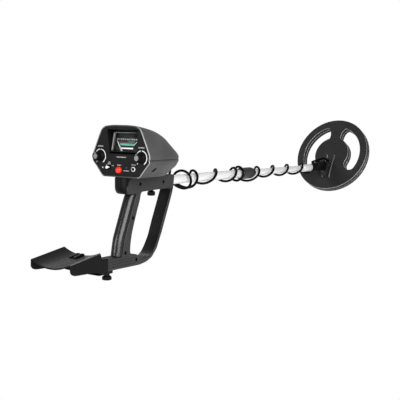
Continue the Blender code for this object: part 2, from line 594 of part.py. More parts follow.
def search_coil(slide):
    pivot = empty("coil_pivot", PIVOT, slide, COIL_TURN)
    face_h = FACE_H
    slots = merge_meshes(*[prism(kidney(side), face_h - 30, face_h + 10, "Z") for side in (-1, 1)])
    slots = cutter("coil_slots", slots, pivot)
    upper = [(103, face_h), (COIL_R, face_h - 2), (COIL_R, face_h - SPLIT_H)]
    shell = make("coil_upper_shell", moved(disc(upper), 0, FACE_V), pivot, colour=(0.03, 0.03, 0.031))
    lug_top = arc(0, 0, 10, 20, 165, 10)
    lug = [(15, face_h - 1)] + lug_top + [(-21, face_h - 1)]
    lug = cutter("coil_lug", prism(lug, -5.2, 5.2, "X"), pivot)
    rib = [(-3, -1), (-3, 0.6), (-44, 6), (-70, 4), (-72, -1)]
    rib = [(FACE_V + v, face_h + rise) for v, rise in rib]
    ribs = cutter("coil_ribs", merge_meshes(prism(rib, 9.5, 12, "X"), prism(rib, -12, -9.5, "X")), pivot)
    grooves = []
    for radius, count in ((TRANSMIT_R, 48), (RECEIVE_R, 32)):
        grooves.append(pipe(radius + 4.5, radius - 4.5, face_h - 13, face_h - 3.4, "Z", count))
    grooves = cutter("coil_grooves", moved(merge_meshes(*grooves), 0, FACE_V), pivot)
    cut(shell, slots, grooves)
    cable_way = moved(rod(3.4, face_h - 14, face_h + 2, "Z", 16), 0, COIL_GLAND_V)
    cut(shell, cutter("coil_cable_way", cable_way, pivot))
    fuse(shell, ribs, lug)
    cut(shell, cutter("coil_lug_hole", rod(3.3, -20, 20, "X", 16), pivot))
    lower = [(104.4, face_h - SPLIT_H - GAP), (104.4, face_h - 20.5), (102, face_h - COIL_THICK)]
    cover = make("coil_lower_cover", moved(disc(lower), 0, FACE_V), pivot, colour=(0.03, 0.03, 0.031))
    cut(cover, slots)
    for name, radius, count in (("transmit_winding", TRANSMIT_R, 40), ("receive_winding", RECEIVE_R, 24)):
        section = arc(radius, face_h - 8, 3, 0, 300, 5)
        ring = lathe(section, "Z", count, ring=True)
        make(name, moved(ring, 0, FACE_V), pivot, colour=(0.6, 0.28, 0.12), roughness=0.3, metallic=1.0)
    foot, top = face_h + GAP, face_h + 8
    gland = [(3.1, foot), (5.8, foot), (5.8, face_h + 4.5), (4.4, top), (3.1, top)]
    make("coil_gland", moved(lathe(gland, "Z", 16, ring=True), 0, COIL_GLAND_V), pivot, roughness=0.6)


# ---- cable --------------------------------------------------------------------------------------
def smooth_route(points, step):
    """Points a fixed step apart on a smooth curve through the given ones."""
    points = [Vector(p) for p in points]
    fine = []
    for i in range(len(points) - 1):
        before = points[max(i - 1, 0)]
        after = points[min(i + 2, len(points) - 1)]
        a, b = points[i], points[i + 1]
        for k in range(12):
            t = k / 12
            fine.append(0.5 * ((2 * a) + (b - before) * t + (2 * before - 5 * a + 4 * b - after) * t * t
                               + (3 * a - before - 3 * b + after) * t * t * t))
    fine.append(points[-1])
    travelled = [0.0]
    for a, b in zip(fine, fine[1:]):
        travelled.append(travelled[-1] + (b - a).length)
    count = max(2, round(travelled[-1] / step))
    route = []
    k = 0
    for i in range(count + 1):
        target = travelled[-1] * i / count
        while k < len(travelled) - 2 and travelled[k + 1] < target:
            k += 1
        share = (target - travelled[k]) / max(1e-9, travelled[k + 1] - travelled[k])
        route.append(fine[k].lerp(fine[k + 1], share))
    return route


def winding_points():
    """The wound stretch, taken every 30 degrees between the listed quarter turns."""
    points = []
    for (turn_a, y_a, r_a), (turn_b, y_b, r_b) in zip(WINDING, WINDING[1:]):
        for k in range(3):
            share = k / 3
            turn = math.radians(turn_a + (turn_b - turn_a) * share)
            radius = r_a + (r_b - r_a) * share
            points.append((radius * math.cos(turn), y_a + (y_b - y_a) * share, radius * math.sin(turn)))
    turn_b, y_b, r_b = WINDING[-1]
    last = math.radians(turn_b)
    points.append((r_b * math.cos(last), y_b, r_b * math.sin(last)))
    return points


def cable_piece(name, route, parent):
    curve = bpy.data.curves.new(name, "CURVE")
    curve.dimensions = "3D"
    curve.bevel_depth = CABLE_R * MM
    curve.bevel_resolution = 2
    curve.use_fill_caps = True
    spline = curve.splines.new("POLY")
    spline.points.add(len(route) - 1)
    for spot, place in zip(spline.points, route):
        spot.co = (*(place * MM), 1.0)
    item = bpy.data.objects.new(name, curve)
    bpy.context.collection.objects.link(item)
    item.parent = parent
    curve.materials.append(paint(name, BLACK, 0.45))
    return item


def cable(root, slide):
    """The whole cable, parted square to its run where it passes from one moving piece to the next."""
    route = smooth_route(CABLE_START + winding_points() + CABLE_END, CABLE_STEP)
    ends = []
    for join_y in (STEM_JOIN_Y, TIP_JOIN_Y):
        index = next(i for i, p in enumerate(route) if p.y > join_y)
        along = (route[index + 1] - route[index - 1]).normalized()
        ends.append((index, [route[index] + along * reach for reach in (-2.5, -GAP / 2, GAP / 2, 2.5)]))
    (one, cut_one), (two, cut_two) = ends
    cable_piece("cable_upper", route[:one] + cut_one[:2], root)
    cable_piece("cable_lower", cut_one[2:] + route[one + 1:two] + cut_two[:2], slide)
    cable_piece("cable_tip", cut_two[2:] + route[two + 1:], slide)


def build():
    clear_scene()
    root = empty("stem_frame", [-c for c in GRIP_CENTRE])
    control_box(root)
    face(root)
    meter(root)
    controls(root)
    handle(root)
    arm_rest(root)
    slide = stem(root)
    search_coil(slide)
    cable(root, slide)


build()
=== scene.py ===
"""The looks of the metal detector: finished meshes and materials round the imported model.

Shapes are written in millimetres in the stem frame of the part's own source (origin on the stem's
axis just ahead of the handle, +X right, +Y towards the coil, +Z up). The matrices STEM, METER,
COIL and FORK carry them into the row frame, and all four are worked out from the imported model.
"""
import json
from math import cos, hypot, pi, radians, sin, sqrt, tau

import bmesh
import bpy
from mathutils import Matrix, Vector


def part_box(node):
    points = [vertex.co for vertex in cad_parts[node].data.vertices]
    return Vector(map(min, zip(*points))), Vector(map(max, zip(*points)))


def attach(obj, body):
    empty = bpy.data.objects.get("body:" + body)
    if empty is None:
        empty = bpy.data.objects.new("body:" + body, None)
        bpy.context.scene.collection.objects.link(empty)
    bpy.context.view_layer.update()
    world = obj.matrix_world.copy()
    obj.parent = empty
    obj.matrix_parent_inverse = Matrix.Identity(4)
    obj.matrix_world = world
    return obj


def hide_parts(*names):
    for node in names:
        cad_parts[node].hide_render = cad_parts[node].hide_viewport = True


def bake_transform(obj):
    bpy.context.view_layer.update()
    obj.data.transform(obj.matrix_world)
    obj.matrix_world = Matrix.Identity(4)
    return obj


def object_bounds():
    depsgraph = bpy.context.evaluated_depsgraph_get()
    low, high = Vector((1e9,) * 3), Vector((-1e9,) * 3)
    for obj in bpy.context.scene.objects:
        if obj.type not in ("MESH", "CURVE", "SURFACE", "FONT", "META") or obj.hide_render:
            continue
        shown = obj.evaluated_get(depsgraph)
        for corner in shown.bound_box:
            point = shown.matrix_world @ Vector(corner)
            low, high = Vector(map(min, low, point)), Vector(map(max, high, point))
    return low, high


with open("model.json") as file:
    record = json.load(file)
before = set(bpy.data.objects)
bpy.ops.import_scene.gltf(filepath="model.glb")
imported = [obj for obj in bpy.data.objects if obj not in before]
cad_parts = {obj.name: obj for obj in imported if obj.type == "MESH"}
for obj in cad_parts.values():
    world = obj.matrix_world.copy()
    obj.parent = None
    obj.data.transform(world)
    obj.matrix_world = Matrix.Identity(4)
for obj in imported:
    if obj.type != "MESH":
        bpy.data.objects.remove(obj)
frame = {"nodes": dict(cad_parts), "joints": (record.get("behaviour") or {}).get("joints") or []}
cad_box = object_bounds()

MM = 0.001
SHARP_ANGLE = radians(40)
NODE_SHARP_ANGLE = radians(35)

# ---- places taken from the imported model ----
UPPER_TUBE_FRONT = 296.0
COIL_TURN = 64.66
METER_TILT = 18.0
NEEDLE_AT = Vector((-11.0, 5.0, 4.4))

tube_low, tube_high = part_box("upper_stem_tube")
stem_origin = Vector(((tube_low.x + tube_high.x) / 2, tube_high.y - UPPER_TUBE_FRONT * MM,
                      (tube_low.z + tube_high.z) / 2))
joints = {joint["name"]: joint for joint in frame["joints"]}
SCALE = Matrix.Scale(MM, 4)
STEM = Matrix.Translation(stem_origin) @ SCALE
coil_pivot = Vector(joints["coil_tilt"]["pos_m"])
COIL = Matrix.Translation(coil_pivot) @ Matrix.Rotation(radians(COIL_TURN), 4, "X") @ SCALE
FORK = Matrix.Translation(coil_pivot) @ SCALE
needle_pivot = Vector(joints["needle_swing"]["pos_m"])
METER = (Matrix.Translation(needle_pivot) @ Matrix.Rotation(radians(-METER_TILT), 4, "X") @ SCALE
         @ Matrix.Translation(-NEEDLE_AT))


def node_place(node):
    """A frame in millimetres on the axis of a turned node, its y counted from the stem's origin."""
    low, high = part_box(node)
    middle = (low + high) / 2
    return Matrix.Translation((middle.x, stem_origin.y, middle.z)) @ SCALE


# ---- mesh helpers ----
AXES = {"X": lambda a, b, h: (h, a, b), "Y": lambda a, b, h: (a, h, b), "Z": lambda a, b, h: (a, b, h)}


def prism(outline, low, high, axis="X"):
    """A solid between two distances along an axis, from its outline across that axis."""
    bm = bmesh.new()
    place = AXES[axis]
    near, far = ([bm.verts.new(place(a, b, h)) for a, b in outline] for h in (low, high))
    bm.faces.new(near)
    bm.faces.new(far)
    for i in range(len(near)):
        bm.faces.new((near[i - 1], near[i], far[i], far[i - 1]))
    return bm


def block(x0, x1, y0, y1, z0, z1):
    return prism([(x0, y0), (x1, y0), (x1, y1), (x0, y1)], z0, z1, "Z")


def loft(rows):
    """A closed solid through rings that all have the same number of points."""
    bm = bmesh.new()
    rings = [[bm.verts.new(p) for p in row] for row in rows]
    for a, b in zip(rings, rings[1:]):
        for i in range(len(a)):
            j = (i + 1) % len(a)
            bm.faces.new((a[i], a[j], b[j], b[i]))
    bm.faces.new(rings[0][::-1])
    bm.faces.new(rings[-1])
    return bm


def turned(profile, axis="Y", segments=64, ring=False, flutes=0, depth=0.0, span=(0, 0)):
    """A turned solid from (radius, distance); flutes cut the radius between the distances in span."""
    bm = bmesh.new()
    place = {"X": lambda r, t, h: (h, r * cos(t), r * sin(t)),
             "Y": lambda r, t, h: (r * cos(t), h, r * sin(t)),
             "Z": lambda r, t, h: (r * cos(t), r * sin(t), h)}[axis]
    rings = []
    for radius, h in profile:
        if radius == 0:
            rings.append([bm.verts.new(place(0, 0, h))])
            continue
        row = []
        for k in range(segments):
            t = tau * k / segments
            inside = flutes and span[0] <= h <= span[1]
            r = radius - depth * (0.5 - 0.5 * cos(flutes * t)) ** 2 if inside else radius
            row.append(bm.verts.new(place(r, t, h)))
        rings.append(row)
    pairs = list(zip(rings, rings[1:]))
    if ring:
        pairs.append((rings[-1], rings[0]))
    for a, b in pairs:
        for k in range(segments):
            n = (k + 1) % segments
            if len(a) == 1 and len(b) > 1:
                bm.faces.new((a[0], b[k], b[n]))
            elif len(b) == 1 and len(a) > 1:
                bm.faces.new((a[k], a[n], b[0]))
            elif len(a) > 1:
                bm.faces.new((a[k], a[n], b[n], b[k]))
    return bm


def rod(radius, low, high, axis, segments=32):
    return turned([(0, low), (radius, low), (radius, high), (0, high)], axis, segments)


def pipe(outer, inner, low, high, axis="Y", segments=96, edge=0.4):
    profile = [(inner, low + edge), (inner + edge, low), (outer - edge, low), (outer, low + edge),
               (outer, high - edge), (outer - edge, high), (inner + edge, high), (inner, high - edge)]
    return turned(profile, axis, segments, ring=True)


def moved(bm, x=0.0, y=0.0, z=0.0):
    bmesh.ops.translate(bm, vec=Vector((x, y, z)), verts=bm.verts)
    return bm


def arc(cx, cy, radius, start, end, steps):
    angles = [radians(start + (end - start) * i / steps) for i in range(steps + 1)]
    return [(cx + radius * cos(a), cy + radius * sin(a)) for a in angles]


def fillet(points, radius, steps=4, open_ends=False):
    """Round every corner of an outline with a short curve."""
    result = []
    for i, point in enumerate(points):
        here = Vector(point)
        if open_ends and i in (0, len(points) - 1):
            result.append(tuple(here))
            continue
        back = Vector(points[i - 1]) - here
        ahead = Vector(points[(i + 1) % len(points)]) - here
        reach = min(radius, back.length * 0.45, ahead.length * 0.45)
        start, end = here + back.normalized() * reach, here + ahead.normalized() * reach
        for k in range(steps + 1):
            t = k / steps
            result.append(tuple(start * (1 - t) ** 2 + here * 2 * t * (1 - t) + end * t * t))
    return result


def spline(rows, pieces):
    """Smooth rows of numbers through the given ones, pieces to each gap."""
    rows = [Vector(r) for r in rows]
    fine = []
    for i in range(len(rows) - 1):
        a, b = rows[i], rows[i + 1]
        before = rows[i - 1] if i else a * 2 - b
        after = rows[i + 2] if i + 2 < len(rows) else b * 2 - a
        for k in range(pieces):
            t = k / pieces
            fine.append(0.5 * (2 * a + (b - before) * t + (2 * before - 5 * a + 4 * b - after) * t * t
                               + (3 * a - before - 3 * b + after) * t ** 3))
    fine.append(rows[-1])
    return fine


def join(*parts):
    bm = bmesh.new()
    for part in parts:
        mesh = bpy.data.meshes.new("part")
        part.to_mesh(mesh)
        part.free()
        bm.from_mesh(mesh)
        bpy.data.meshes.remove(mesh)
    return bm


def link(name, data):
    item = bpy.data.objects.new(name, data)
    bpy.context.collection.objects.link(item)
    return item


def evaluated(item):
    """A new mesh of the object as its modifiers leave it."""
    bpy.context.view_layer.update()
    graph = bpy.context.evaluated_depsgraph_get()
    return bpy.data.meshes.new_from_object(item.evaluated_get(graph))


def settle(item):
    """Apply an object's modifiers."""
    mesh = evaluated(item)
    old = item.data
    item.modifiers.clear()
    item.data = mesh
    bpy.data.meshes.remove(old)


def raw(name, bm, place):
    bmesh.ops.remove_doubles(bm, verts=bm.verts, dist=0.0005)
    bmesh.ops.recalc_face_normals(bm, faces=bm.faces)
    bm.transform(place)
    mesh = bpy.data.meshes.new(name)
    bm.to_mesh(mesh)
    bm.free()
    return link(name, mesh)


def carve(item, *solids, place=None, operation="DIFFERENCE"):
    for solid in solids:
        tool = raw("tool", solid, place or STEM)
        modifier = item.modifiers.new("carve", "BOOLEAN")
        modifier.operation = operation
        modifier.solver = "EXACT"
        modifier.object = tool
        settle(item)
        bpy.data.objects.remove(tool)


def round_edges(item, width, angle, steps):
    """Bevel the edges that are sharper than the angle."""
    modifier = item.modifiers.new("rounding", "BEVEL")
    modifier.width = width * MM
    modifier.segments = steps
    modifier.limit_method = "ANGLE"
    modifier.angle_limit = radians(angle)
    settle(item)


def add(name, bm, body, material, place=None, stands_for=(), bevel=0.0, angle=35, carvings=(), steps=3):
    """One finished piece: cut, rounded, shaded, painted and riding on its body."""
    item = raw(name, bm, place or STEM)
    carve(item, *carvings, place=place)
    return finish_piece(item, body, material, stands_for, bevel, angle, steps)


def finish_piece(item, body, material, stands_for=(), bevel=0.0, angle=35, steps=3):
    if bevel:
        round_edges(item, bevel, angle, steps)
    item.data.materials.clear()
    item.data.materials.append(material)
    item.data.shade_smooth()
    item.data.set_sharp_from_angle(angle=SHARP_ANGLE)
    flat = item.modifiers.new("flat_faces", "WEIGHTED_NORMAL")
    flat.weight = 100
    flat.keep_sharp = True
    settle(item)
    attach(item, body)
    if stands_for:
        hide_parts(*stands_for)
    return item


def tone(item, material, test, place=None):
    """Give the faces that pass the test, called with their centre and normal, a material of their own."""
    back = (place or STEM).inverted()
    turn = back.to_3x3().normalized()
    item.data.materials.append(material)
    for face in item.data.polygons:
        if test(back @ face.center, (turn @ face.normal).normalized()):
            face.material_index = len(item.data.materials) - 1


# ---- materials ----
def put(node, socket, value):
    node.inputs[socket].default_value = value


def wire(source, target):
    target.id_data.links.new(source, target)


def shader(name, colour, roughness, metallic=0.0, gloss=0.5):
    material = bpy.data.materials.new(name)
    material.use_nodes = True
    tree = material.node_tree
    principled = tree.nodes["Principled BSDF"]
    put(principled, "Base Color", (*colour, 1.0))
    put(principled, "Roughness", roughness)
    put(principled, "Metallic", metallic)
    put(principled, "Specular IOR Level", gloss)
    return material, tree, principled


def coordinates(tree, stretch=(1, 1, 1)):
    where = tree.nodes.new("ShaderNodeTexCoord")
    mapping = tree.nodes.new("ShaderNodeMapping")
    put(mapping, "Scale", stretch)
    wire(where.outputs["Object"], mapping.inputs["Vector"])
    return mapping.outputs["Vector"]


def noise(tree, vector, scale, detail=3.0):
    node = tree.nodes.new("ShaderNodeTexNoise")
    put(node, "Scale", scale)
    put(node, "Detail", detail)
    wire(vector, node.inputs["Vector"])
    return node.outputs["Fac"]


def spread(tree, source, low, high):
    node = tree.nodes.new("ShaderNodeMapRange")
    put(node, "To Min", low)
    put(node, "To Max", high)
    wire(source, node.inputs["Value"])
    return node.outputs["Result"]


def tint(tree, factor, dark, light):
    ramp = tree.nodes.new("ShaderNodeValToRGB")
    ramp.color_ramp.elements[0].color = (*dark, 1.0)
    ramp.color_ramp.elements[0].position = 0.3
    ramp.color_ramp.elements[1].color = (*light, 1.0)
    ramp.color_ramp.elements[1].position = 0.7
    wire(factor, ramp.inputs["Fac"])
    return ramp.outputs["Color"]


def bump(tree, principled, height, strength, distance):
    node = tree.nodes.new("ShaderNodeBump")
    put(node, "Strength", strength)
    put(node, "Distance", distance)
    wire(height, node.inputs["Height"])
    wire(node.outputs["Normal"], principled.inputs["Normal"])


def shade(colour, share):
    return tuple(c * share for c in colour)


def moulded(name, colour, roughness, grain=1800.0, strength=0.25, vary=0.15, gloss=0.5):
    """Injection-moulded plastic: a fine spark-eroded grain, slight clouding in colour and gloss."""
    material, tree, principled = shader(name, colour, roughness, gloss=gloss)
    vector = coordinates(tree)
    cloud = noise(tree, vector, 18.0, 4.0)
    clouded = tint(tree, cloud, shade(colour, 1 - vary), shade(colour, 1 + vary))
    wire(clouded, principled.inputs["Base Color"])
    wire(spread(tree, noise(tree, vector, 60.0), roughness - 0.06, roughness + 0.08),
         principled.inputs["Roughness"])
    bump(tree, principled, noise(tree, vector, grain, 2.0), strength, 0.00012)
    return material


def stippled_rubber(name, colour, roughness):
    material, tree, principled = shader(name, colour, roughness)
    vector = coordinates(tree)
    cells = tree.nodes.new("ShaderNodeTexVoronoi")
    put(cells, "Scale", 620.0)
    wire(vector, cells.inputs["Vector"])
    bump(tree, principled, cells.outputs["Distance"], 0.35, 0.0003)
    clouded = tint(tree, noise(tree, vector, 30.0), shade(colour, 0.8), shade(colour, 1.3))
    wire(clouded, principled.inputs["Base Color"])
    wire(spread(tree, noise(tree, vector, 90.0), roughness - 0.05, roughness + 0.08),
         principled.inputs["Roughness"])
    return material


def brushed(name, colour, roughness, stretch, strength=0.12, metallic=1.0):
    """Drawn or brushed metal, with fine lines along the direction that the stretch leaves low."""
    material, tree, principled = shader(name, colour, roughness, metallic)
    vector = coordinates(tree, stretch)
    lines = noise(tree, vector, 420.0, 3.0)
    wire(spread(tree, lines, roughness - 0.07, roughness + 0.1), principled.inputs["Roughness"])
    cloud = noise(tree, coordinates(tree), 9.0)
    wire(tint(tree, cloud, shade(colour, 0.94), colour), principled.inputs["Base Color"])
    bump(tree, principled, lines, strength, 0.00004)
    return material


def painted_mark(name, colour, roughness=0.5, glow=0.0):
    material, tree, principled = shader(name, colour, roughness)
    vector = coordinates(tree)
    speck = noise(tree, vector, 900.0, 2.0)
    wire(tint(tree, speck, shade(colour, 0.82), colour), principled.inputs["Base Color"])
    # glow paints light into the mark
    if glow:
        put(principled, "Emission Color", (*colour, 1.0))
        put(principled, "Emission Strength", glow)
    return material


def clear(name, colour, roughness=0.03):
    material, tree, principled = shader(name, colour, roughness)
    put(principled, "Transmission Weight", 1.0)
    put(principled, "IOR", 1.12)
    bump(tree, principled, noise(tree, coordinates(tree), 25.0), 0.02, 0.0005)
    return material


CASE_PLASTIC = moulded("case_plastic", (0.058, 0.058, 0.059), 0.42, 1500.0, 0.3, gloss=0.25)
HANDLE_PLASTIC = moulded("handle_plastic", (0.028, 0.028, 0.029), 0.46, 1500.0, 0.3, gloss=0.25)
# light grey that paints a highlight along the rounded edge round the face
LIP_HIGHLIGHT = moulded("lip_painted_highlight", (0.30, 0.30, 0.30), 0.32, 1500.0, 0.1)
# near black that paints shade onto the coil's upright walls, in the slots and round the rim
COIL_WALL_SHADE = moulded("coil_wall_painted_shade", (0.004, 0.004, 0.0045), 0.40, 1600.0, 0.1, gloss=0.15)
# light grey that paints highlights along the rounded upper edges of the coil and its ribs
EDGE_HIGHLIGHT = moulded("edge_painted_highlight", (0.40, 0.40, 0.40), 0.28, 1600.0, 0.1)
# near black that paints shade onto the inside of the handle's loop
LOOP_SHADE = moulded("loop_painted_shade", (0.006, 0.006, 0.0065), 0.45, 1500.0, 0.15, gloss=0.2)
CUP_PLASTIC = moulded("cup_plastic", (0.002, 0.002, 0.0025), 0.28, 1400.0, 0.1, gloss=0.15)
# a copy of the cup plastic without gloss for the faces that look down: painted shade on the undersides
CUP_UNDERSIDE_SHADE = moulded("cup_underside_painted_shade", (0.003, 0.003, 0.0035), 0.6, 1400.0, 0.1, gloss=0.0)
# lighter copies of the cup plastic that paint a sheen and a highlight on the right side of the trough
CUP_PAINTED_SHEEN = moulded("cup_painted_sheen", (0.03, 0.03, 0.031), 0.25, 1400.0, 0.1, gloss=0.25)
CUP_PAINTED_HIGHLIGHT = moulded("cup_painted_highlight", (0.10, 0.10, 0.101), 0.25, 1400.0, 0.1, gloss=0.25)
PANEL_PLASTIC = moulded("panel_plastic", (0.006, 0.006, 0.0065), 0.42, 2200.0, 0.15, gloss=0.15)
COIL_PLASTIC = moulded("coil_plastic", (0.022, 0.022, 0.023), 0.34, 1600.0, 0.2, gloss=0.45)
BLACK_PLASTIC = moulded("black_plastic", (0.002, 0.002, 0.0025), 0.42, 1800.0, 0.12, gloss=0.12)
COLLAR_PLASTIC = moulded("collar_plastic", (0.005, 0.005, 0.0055), 0.28, 1800.0, 0.12, gloss=0.5)
# black hood plastic, also used to paint shade into the screw pockets, the slanted cut and the sheet behind
# it
HOOD_PLASTIC_AND_SHADE = moulded("hood_plastic_and_painted_shade", (0.002, 0.002, 0.0025), 0.5, 900.0, 0.1, gloss=0.15)
NYLON = moulded("nylon", (0.45, 0.44, 0.41), 0.5, 900.0, 0.1)
GRIP_RUBBER = stippled_rubber("grip_rubber", (0.006, 0.006, 0.0065), 0.26)
SOFT_RUBBER = stippled_rubber("soft_rubber", (0.010, 0.010, 0.011), 0.6)
CABLE_JACKET = moulded("cable_jacket", (0.002, 0.002, 0.0025), 0.5, 1500.0, 0.15, gloss=0.06)
TUBE_METAL = brushed("tube_metal", (0.86, 0.86, 0.865), 0.38, (1.0, 0.02, 1.0), 0.04, 0.25)
TURNED_METAL = brushed("turned_metal", (0.82, 0.82, 0.83), 0.32, (1.0, 1.0, 1.0))
DARK_METAL = brushed("dark_metal", (0.012, 0.012, 0.012), 0.5, (1.0, 1.0, 1.0))
# pale plating whose bright reflection is partly painted in as plain diffuse colour
PLATING_AND_PAINTED_REFLECTION = moulded("plating_and_painted_reflection", (0.82, 0.82, 0.82), 0.25, 700.0, 0.03, 0.04)
WHITE_PRINT = painted_mark("white_print", (0.88, 0.88, 0.88))
GREY_PRINT = painted_mark("grey_print", (0.62, 0.62, 0.62))
METER_GREY = moulded("meter_grey", (0.006, 0.006, 0.0065), 0.35, 900.0, 0.1)
# a dimmer grey that paints light on the inner part of the meter hood's left wall
METER_WALL_DIM_HIGHLIGHT = moulded("meter_wall_painted_dim_highlight", (0.10, 0.10, 0.10), 0.35, 900.0, 0.05)
INSERT_GREY = moulded("insert_grey", (0.20, 0.20, 0.20), 0.28, 900.0, 0.05)
# a light grey that paints the lit top edge and left wall of the meter hood
METER_WALL_HIGHLIGHT = moulded("meter_wall_painted_highlight", (0.33, 0.33, 0.33), 0.3, 900.0, 0.05)
# white print that also glows with painted light
DIAL_WHITE_GLOW = painted_mark("dial_white_painted_glow", (0.90, 0.90, 0.90), 0.5, 0.35)
DIAL_BLACK = painted_mark("dial_black", (0.008, 0.009, 0.010), 0.55)
TEAL_PRINT = painted_mark("teal_print", (0.16, 0.58, 0.44))
RED_PRINT = painted_mark("red_print", (0.50, 0.20, 0.24))
GREEN_PRINT = painted_mark("green_print", (0.20, 0.42, 0.26))
BUTTON_RED = moulded("button_red", (0.80, 0.030, 0.012), 0.26, 1200.0, 0.05, 0.06)
# white that also glows with painted light
LEVER_WHITE_GLOW = painted_mark("lever_white_painted_glow", (0.90, 0.90, 0.90), 0.3, 0.3)
NEEDLE_WHITE = painted_mark("needle_white", (0.70, 0.70, 0.70))
LED_LENS = moulded("led_lens", (0.030, 0.035, 0.030), 0.12, 600.0, 0.03)
BOARD_GREEN = painted_mark("board_green", (0.02, 0.12, 0.05), 0.4)
BATTERY_WRAP = brushed("battery_wrap", (0.35, 0.36, 0.38), 0.35, (1.0, 1.0, 1.0))
COPPER = brushed("copper_wire", (0.72, 0.34, 0.17), 0.3, (1.0, 1.0, 0.05))
WINDOW = clear("meter_window", (0.97, 0.98, 0.98))

# ---- control box ----
FACE_Y = -176.0
WALL = 2.2
LIP = 2.0
SEAM_Z = 48.0
# height, half the width, then along the stem where the plan begins to curve and where its tip is
COVER_ROWS = [
    (49.6, 72.1, -130.0, -26.0), (52.0, 72.1, -130.5, -26.4), (57.7, 71.8, -134.0, -30.5),
    (65.0, 68.6, -141.0, -38.0), (75.6, 64.0, -149.0, -50.0), (87.3, 58.8, -157.0, -64.0),
    (95.5, 55.0, -163.5, -79.6), (101.5, 52.0, -167.5, -97.0), (106.0, 49.0, -170.0, -118.0),
    (109.8, 43.5, -172.0, -143.0), (112.2, 33.0, -173.0, -157.0), (113.6, 18.0, -174.0, -166.0)]
SHELL_ROWS = [
    (46.4, 71.9, -130.0, -26.2), (43.0, 72.0, -130.0, -26.4), (35.0, 65.2, -130.0, -27.5),
    (30.5, 61.3, -130.0, -31.0), (25.0, 56.6, -130.0, -40.0), (18.7, 51.3, -130.0, -49.0),
    (15.0, 47.6, -130.0, -54.0), (13.0, 44.0, -130.0, -58.0)]
DOOR_BOX = (35.0, 80.0, -150.0, -102.0, 20.0, 40.0)
DOOR_GAP = 0.35
DOOR_SLASH = [(-152, 26), (-146.4, 24.4), (-141, 31.4), (-146.6, 33)]
SLASH_DEPTH = 2.4
SPEAKER_SLOTS = (23, 28, 33, 38)
GLAND_Y = -40.0
GLAND_HOLE_R = 3.6


def box_row(height, half, curve_y, tip_y, steps=56):
    reach = tip_y - curve_y
    lip = [(half - LIP + x, y + FACE_Y + LIP) for x, y in arc(0, 0, LIP, -80, 0, 5)]
    points = lip + [(half, (FACE_Y + curve_y) / 2)]
    for i in range(steps + 1):
        angle = pi * i / steps
        points.append((half * cos(angle), curve_y + reach * sin(angle)))
    points += [(-half, (FACE_Y + curve_y) / 2)] + [(-x, y) for x, y in reversed(lip)]
    return [(x, y, height) for x, y in points]


def thick_skin(name, rows, upward):
    """A skin through the rows, WALL thick, open at the face and at the seam."""
    bm = bmesh.new()
    rings = [[bm.verts.new(p) for p in box_row(*row)] for row in rows]
    for a, b in zip(rings, rings[1:]):
        for i in range(len(a) - 1):
            bm.faces.new((a[i], a[i + 1], b[i + 1], b[i]))
    bm.faces.new(rings[-1])
    item = raw(name, bm, STEM)
    biggest = max(item.data.polygons, key=lambda p: len(p.vertices))
    if (biggest.normal.z > 0) != upward:
        item.data.flip_normals()
    modifier = item.modifiers.new("wall", "SOLIDIFY")
    modifier.thickness = WALL * MM
    modifier.offset = -1.0
    settle(item)
    return item


def on_lip(at, normal):
    """The rounded edge that runs round the face, which a lighter grey paints as a highlight line."""
    return at.y < FACE_Y + 1.6 and -0.97 < normal.y < -0.2 and abs(normal.x) > 0.2


def in_slash(at, normal):
    """The sides of the slanted cut in the battery door, painted black as shade."""
    return -153.5 < at.y < -139.5 and 22.5 < at.z < 35 and abs(normal.x) < 0.4 and at.x > 50


def control_box():
    cover_rows = [(SEAM_Z + 0.2, 71.0, -130.0, -27.1), (SEAM_Z + 0.7, 71.7, -130.0, -26.4)]
    cover_rows += [tuple(r) for r in spline(COVER_ROWS, 3)]
    cover = thick_skin("box_cover", cover_rows, True)
    finish_piece(cover, "handle", CASE_PLASTIC, ["housing_top_cover"], 0.9, 60, 4)
    # the rounded edge round the face gets a painted highlight
    tone(cover, LIP_HIGHLIGHT, on_lip)
    shell_rows = [(SEAM_Z - 0.2, 70.4, -130.0, -27.7), (SEAM_Z - 0.8, 71.2, -130.0, -26.9)]
    shell_rows += [tuple(r) for r in spline(SHELL_ROWS, 3)]
    shell = thick_skin("box_shell", shell_rows, False)
    door = thick_skin("box_door", shell_rows, False)
    x0, x1, y0, y1, z0, z1 = DOOR_BOX
    carve(shell, block(x0, x1, y0, y1, z0, z1))
    carve(shell, join(*[block(-80, -40, -132, -108, z, z + 2.4) for z in SPEAKER_SLOTS]))
    carve(shell, moved(rod(GLAND_HOLE_R, -12, 12, "Z"), 0, GLAND_Y, 25))
    gap = DOOR_GAP
    carve(door, block(x0, x1, y0 + gap, y1 - gap, z0 + gap, z1 - gap), operation="INTERSECT")
    slash = fillet(DOOR_SLASH, 1.4)
    for item in (door, shell):
        carve(item, prism(slash, 50, 80))
    finish_piece(door, "battery_door", CASE_PLASTIC, ["battery_door"], 0.3, 50)
    # the sides of the slanted cut are painted black as shade
    tone(door, HOOD_PLASTIC_AND_SHADE, in_slash)
    finish_piece(shell, "handle", CASE_PLASTIC, ["housing_bottom_shell"], 0.9, 60, 4)
    # the rounded edge round the face gets a painted highlight
    tone(shell, LIP_HIGHLIGHT, on_lip)
    # the sides of the slanted cut are painted black as shade
    tone(shell, HOOD_PLASTIC_AND_SHADE, in_slash)
    # a black sheet behind the slanted cut that paints the shade seen through it
    pocket = thick_skin("door_slash_shade_sheet", shell_rows, False)
    carve(pocket, block(50, 80, -156, -137, 21, 37), operation="INTERSECT")
    pocket.data.transform(Matrix.Translation((-SLASH_DEPTH * MM, 0, 0)))
    finish_piece(pocket, "handle", HOOD_PLASTIC_AND_SHADE)


# ---- marks printed on the face ----
PRINT_Y = FACE_Y + 0.6
